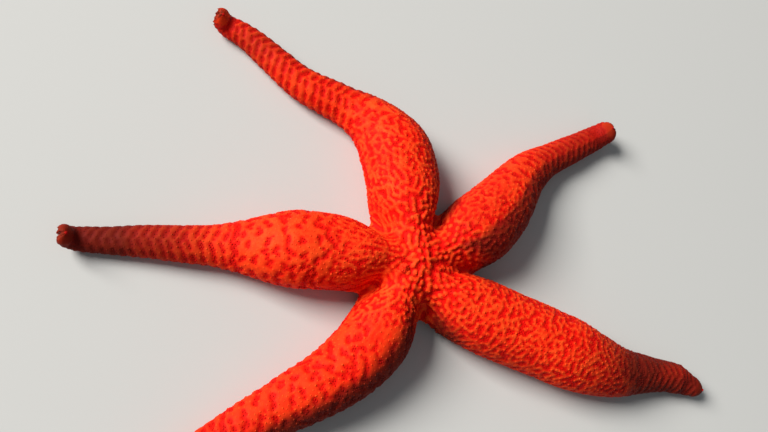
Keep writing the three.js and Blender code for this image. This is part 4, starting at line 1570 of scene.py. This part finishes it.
finishes = {
    # The spines' and comb spines' tips are painted lighter, partly as a painted highlight.
    "spines": paint_peg("spine_skin", RIDGE, RIDGE_LIGHT, SPINE_TIP_AND_HIGHLIGHT, tip_from=0.55, tip_to=1.05),
    "gills": paint_peg("gill", GILL_RED, NET_GAP, GILL_TIP, tip_from=0.4, tip_to=1.1),
    "groove_spines": paint_peg("comb_spine", RIDGE, SOLE_ORANGE, SPINE_TIP_AND_HIGHLIGHT, tip_from=0.3, tip_to=1.0),
    "tube_feet": paint_peg("tube_foot", FOOT_RED, FOOT_RED, FOOT_PALE, tip_from=0.75, tip_to=1.0),
}
skin.data.materials.append(paint_skin())
for kind, pieces in coat.items():
    for piece in pieces:
        piece.data.materials.append(finishes[kind])
oral.data.materials.append(finishes["groove_spines"])
print("finishes:", ", ".join(finishes))

# %% Mouth, sieve plate and eyespots
CLOUD_DETAIL, CLOUD_RANGE, CLOUD_BUMP = 4.0, (0.35, 0.65), (0.3, 0.1)


def paint_plain(name, first, second, size, roughness, gleam):
    """Two colours blended by soft noise of the given size, with a light bump of the same noise."""
    paint = Paint(name)
    cloud = paint.noise(size, CLOUD_DETAIL)
    mixed = paint.mix(paint.smooth(cloud, *CLOUD_RANGE), first, second)
    return paint.finish(Base_Color=mixed, Roughness=roughness, Specular_IOR_Level=gleam,
                        Normal=paint.bump(cloud, *CLOUD_BUMP))


mouth_finish = paint_plain("mouth_membrane", FOOT_PALE, SOLE_ORANGE, size=0.8, roughness=0.5, gleam=0.3)
mouth.data.materials.append(mouth_finish)
sieve_finish = paint_plain("sieve_plate", SIEVE_ORANGE, SIEVE_FURROW, size=0.7, roughness=0.6,
                           gleam=FAINT_GLEAM)
sieve.data.materials.append(sieve_finish)
eyespot_finish = paint_plain("eyespot", EYE_RED, GILL_RED, size=0.5, roughness=0.6, gleam=FAINT_GLEAM)
for arm in ARMS:
    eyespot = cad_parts[f"{arm.name}_eyespot"]
    eyespot.data.materials.clear()
    eyespot.data.materials.append(eyespot_finish)

# %% The floor
FLOOR_HALF = 3.0
floor_mesh = bpy.data.meshes.new("floor")
floor_mesh.from_pydata([(x, y, 0) for x, y in ((-1, -1), (1, -1), (1, 1), (-1, 1))], [], [(0, 1, 2, 3)])
floor_mesh.transform(Matrix.Scale(FLOOR_HALF, 4))
floor = bpy.data.objects.new("floor", floor_mesh)
bpy.context.scene.collection.objects.link(floor)
floor_paint = Paint("floor")
floor_paint.finish(Base_Color=FLOOR_PALE, Roughness=0.9, Specular_IOR_Level=0.1)
floor_mesh.materials.append(floor_paint.material)
print("floor:", 2 * FLOOR_HALF, "m wide")
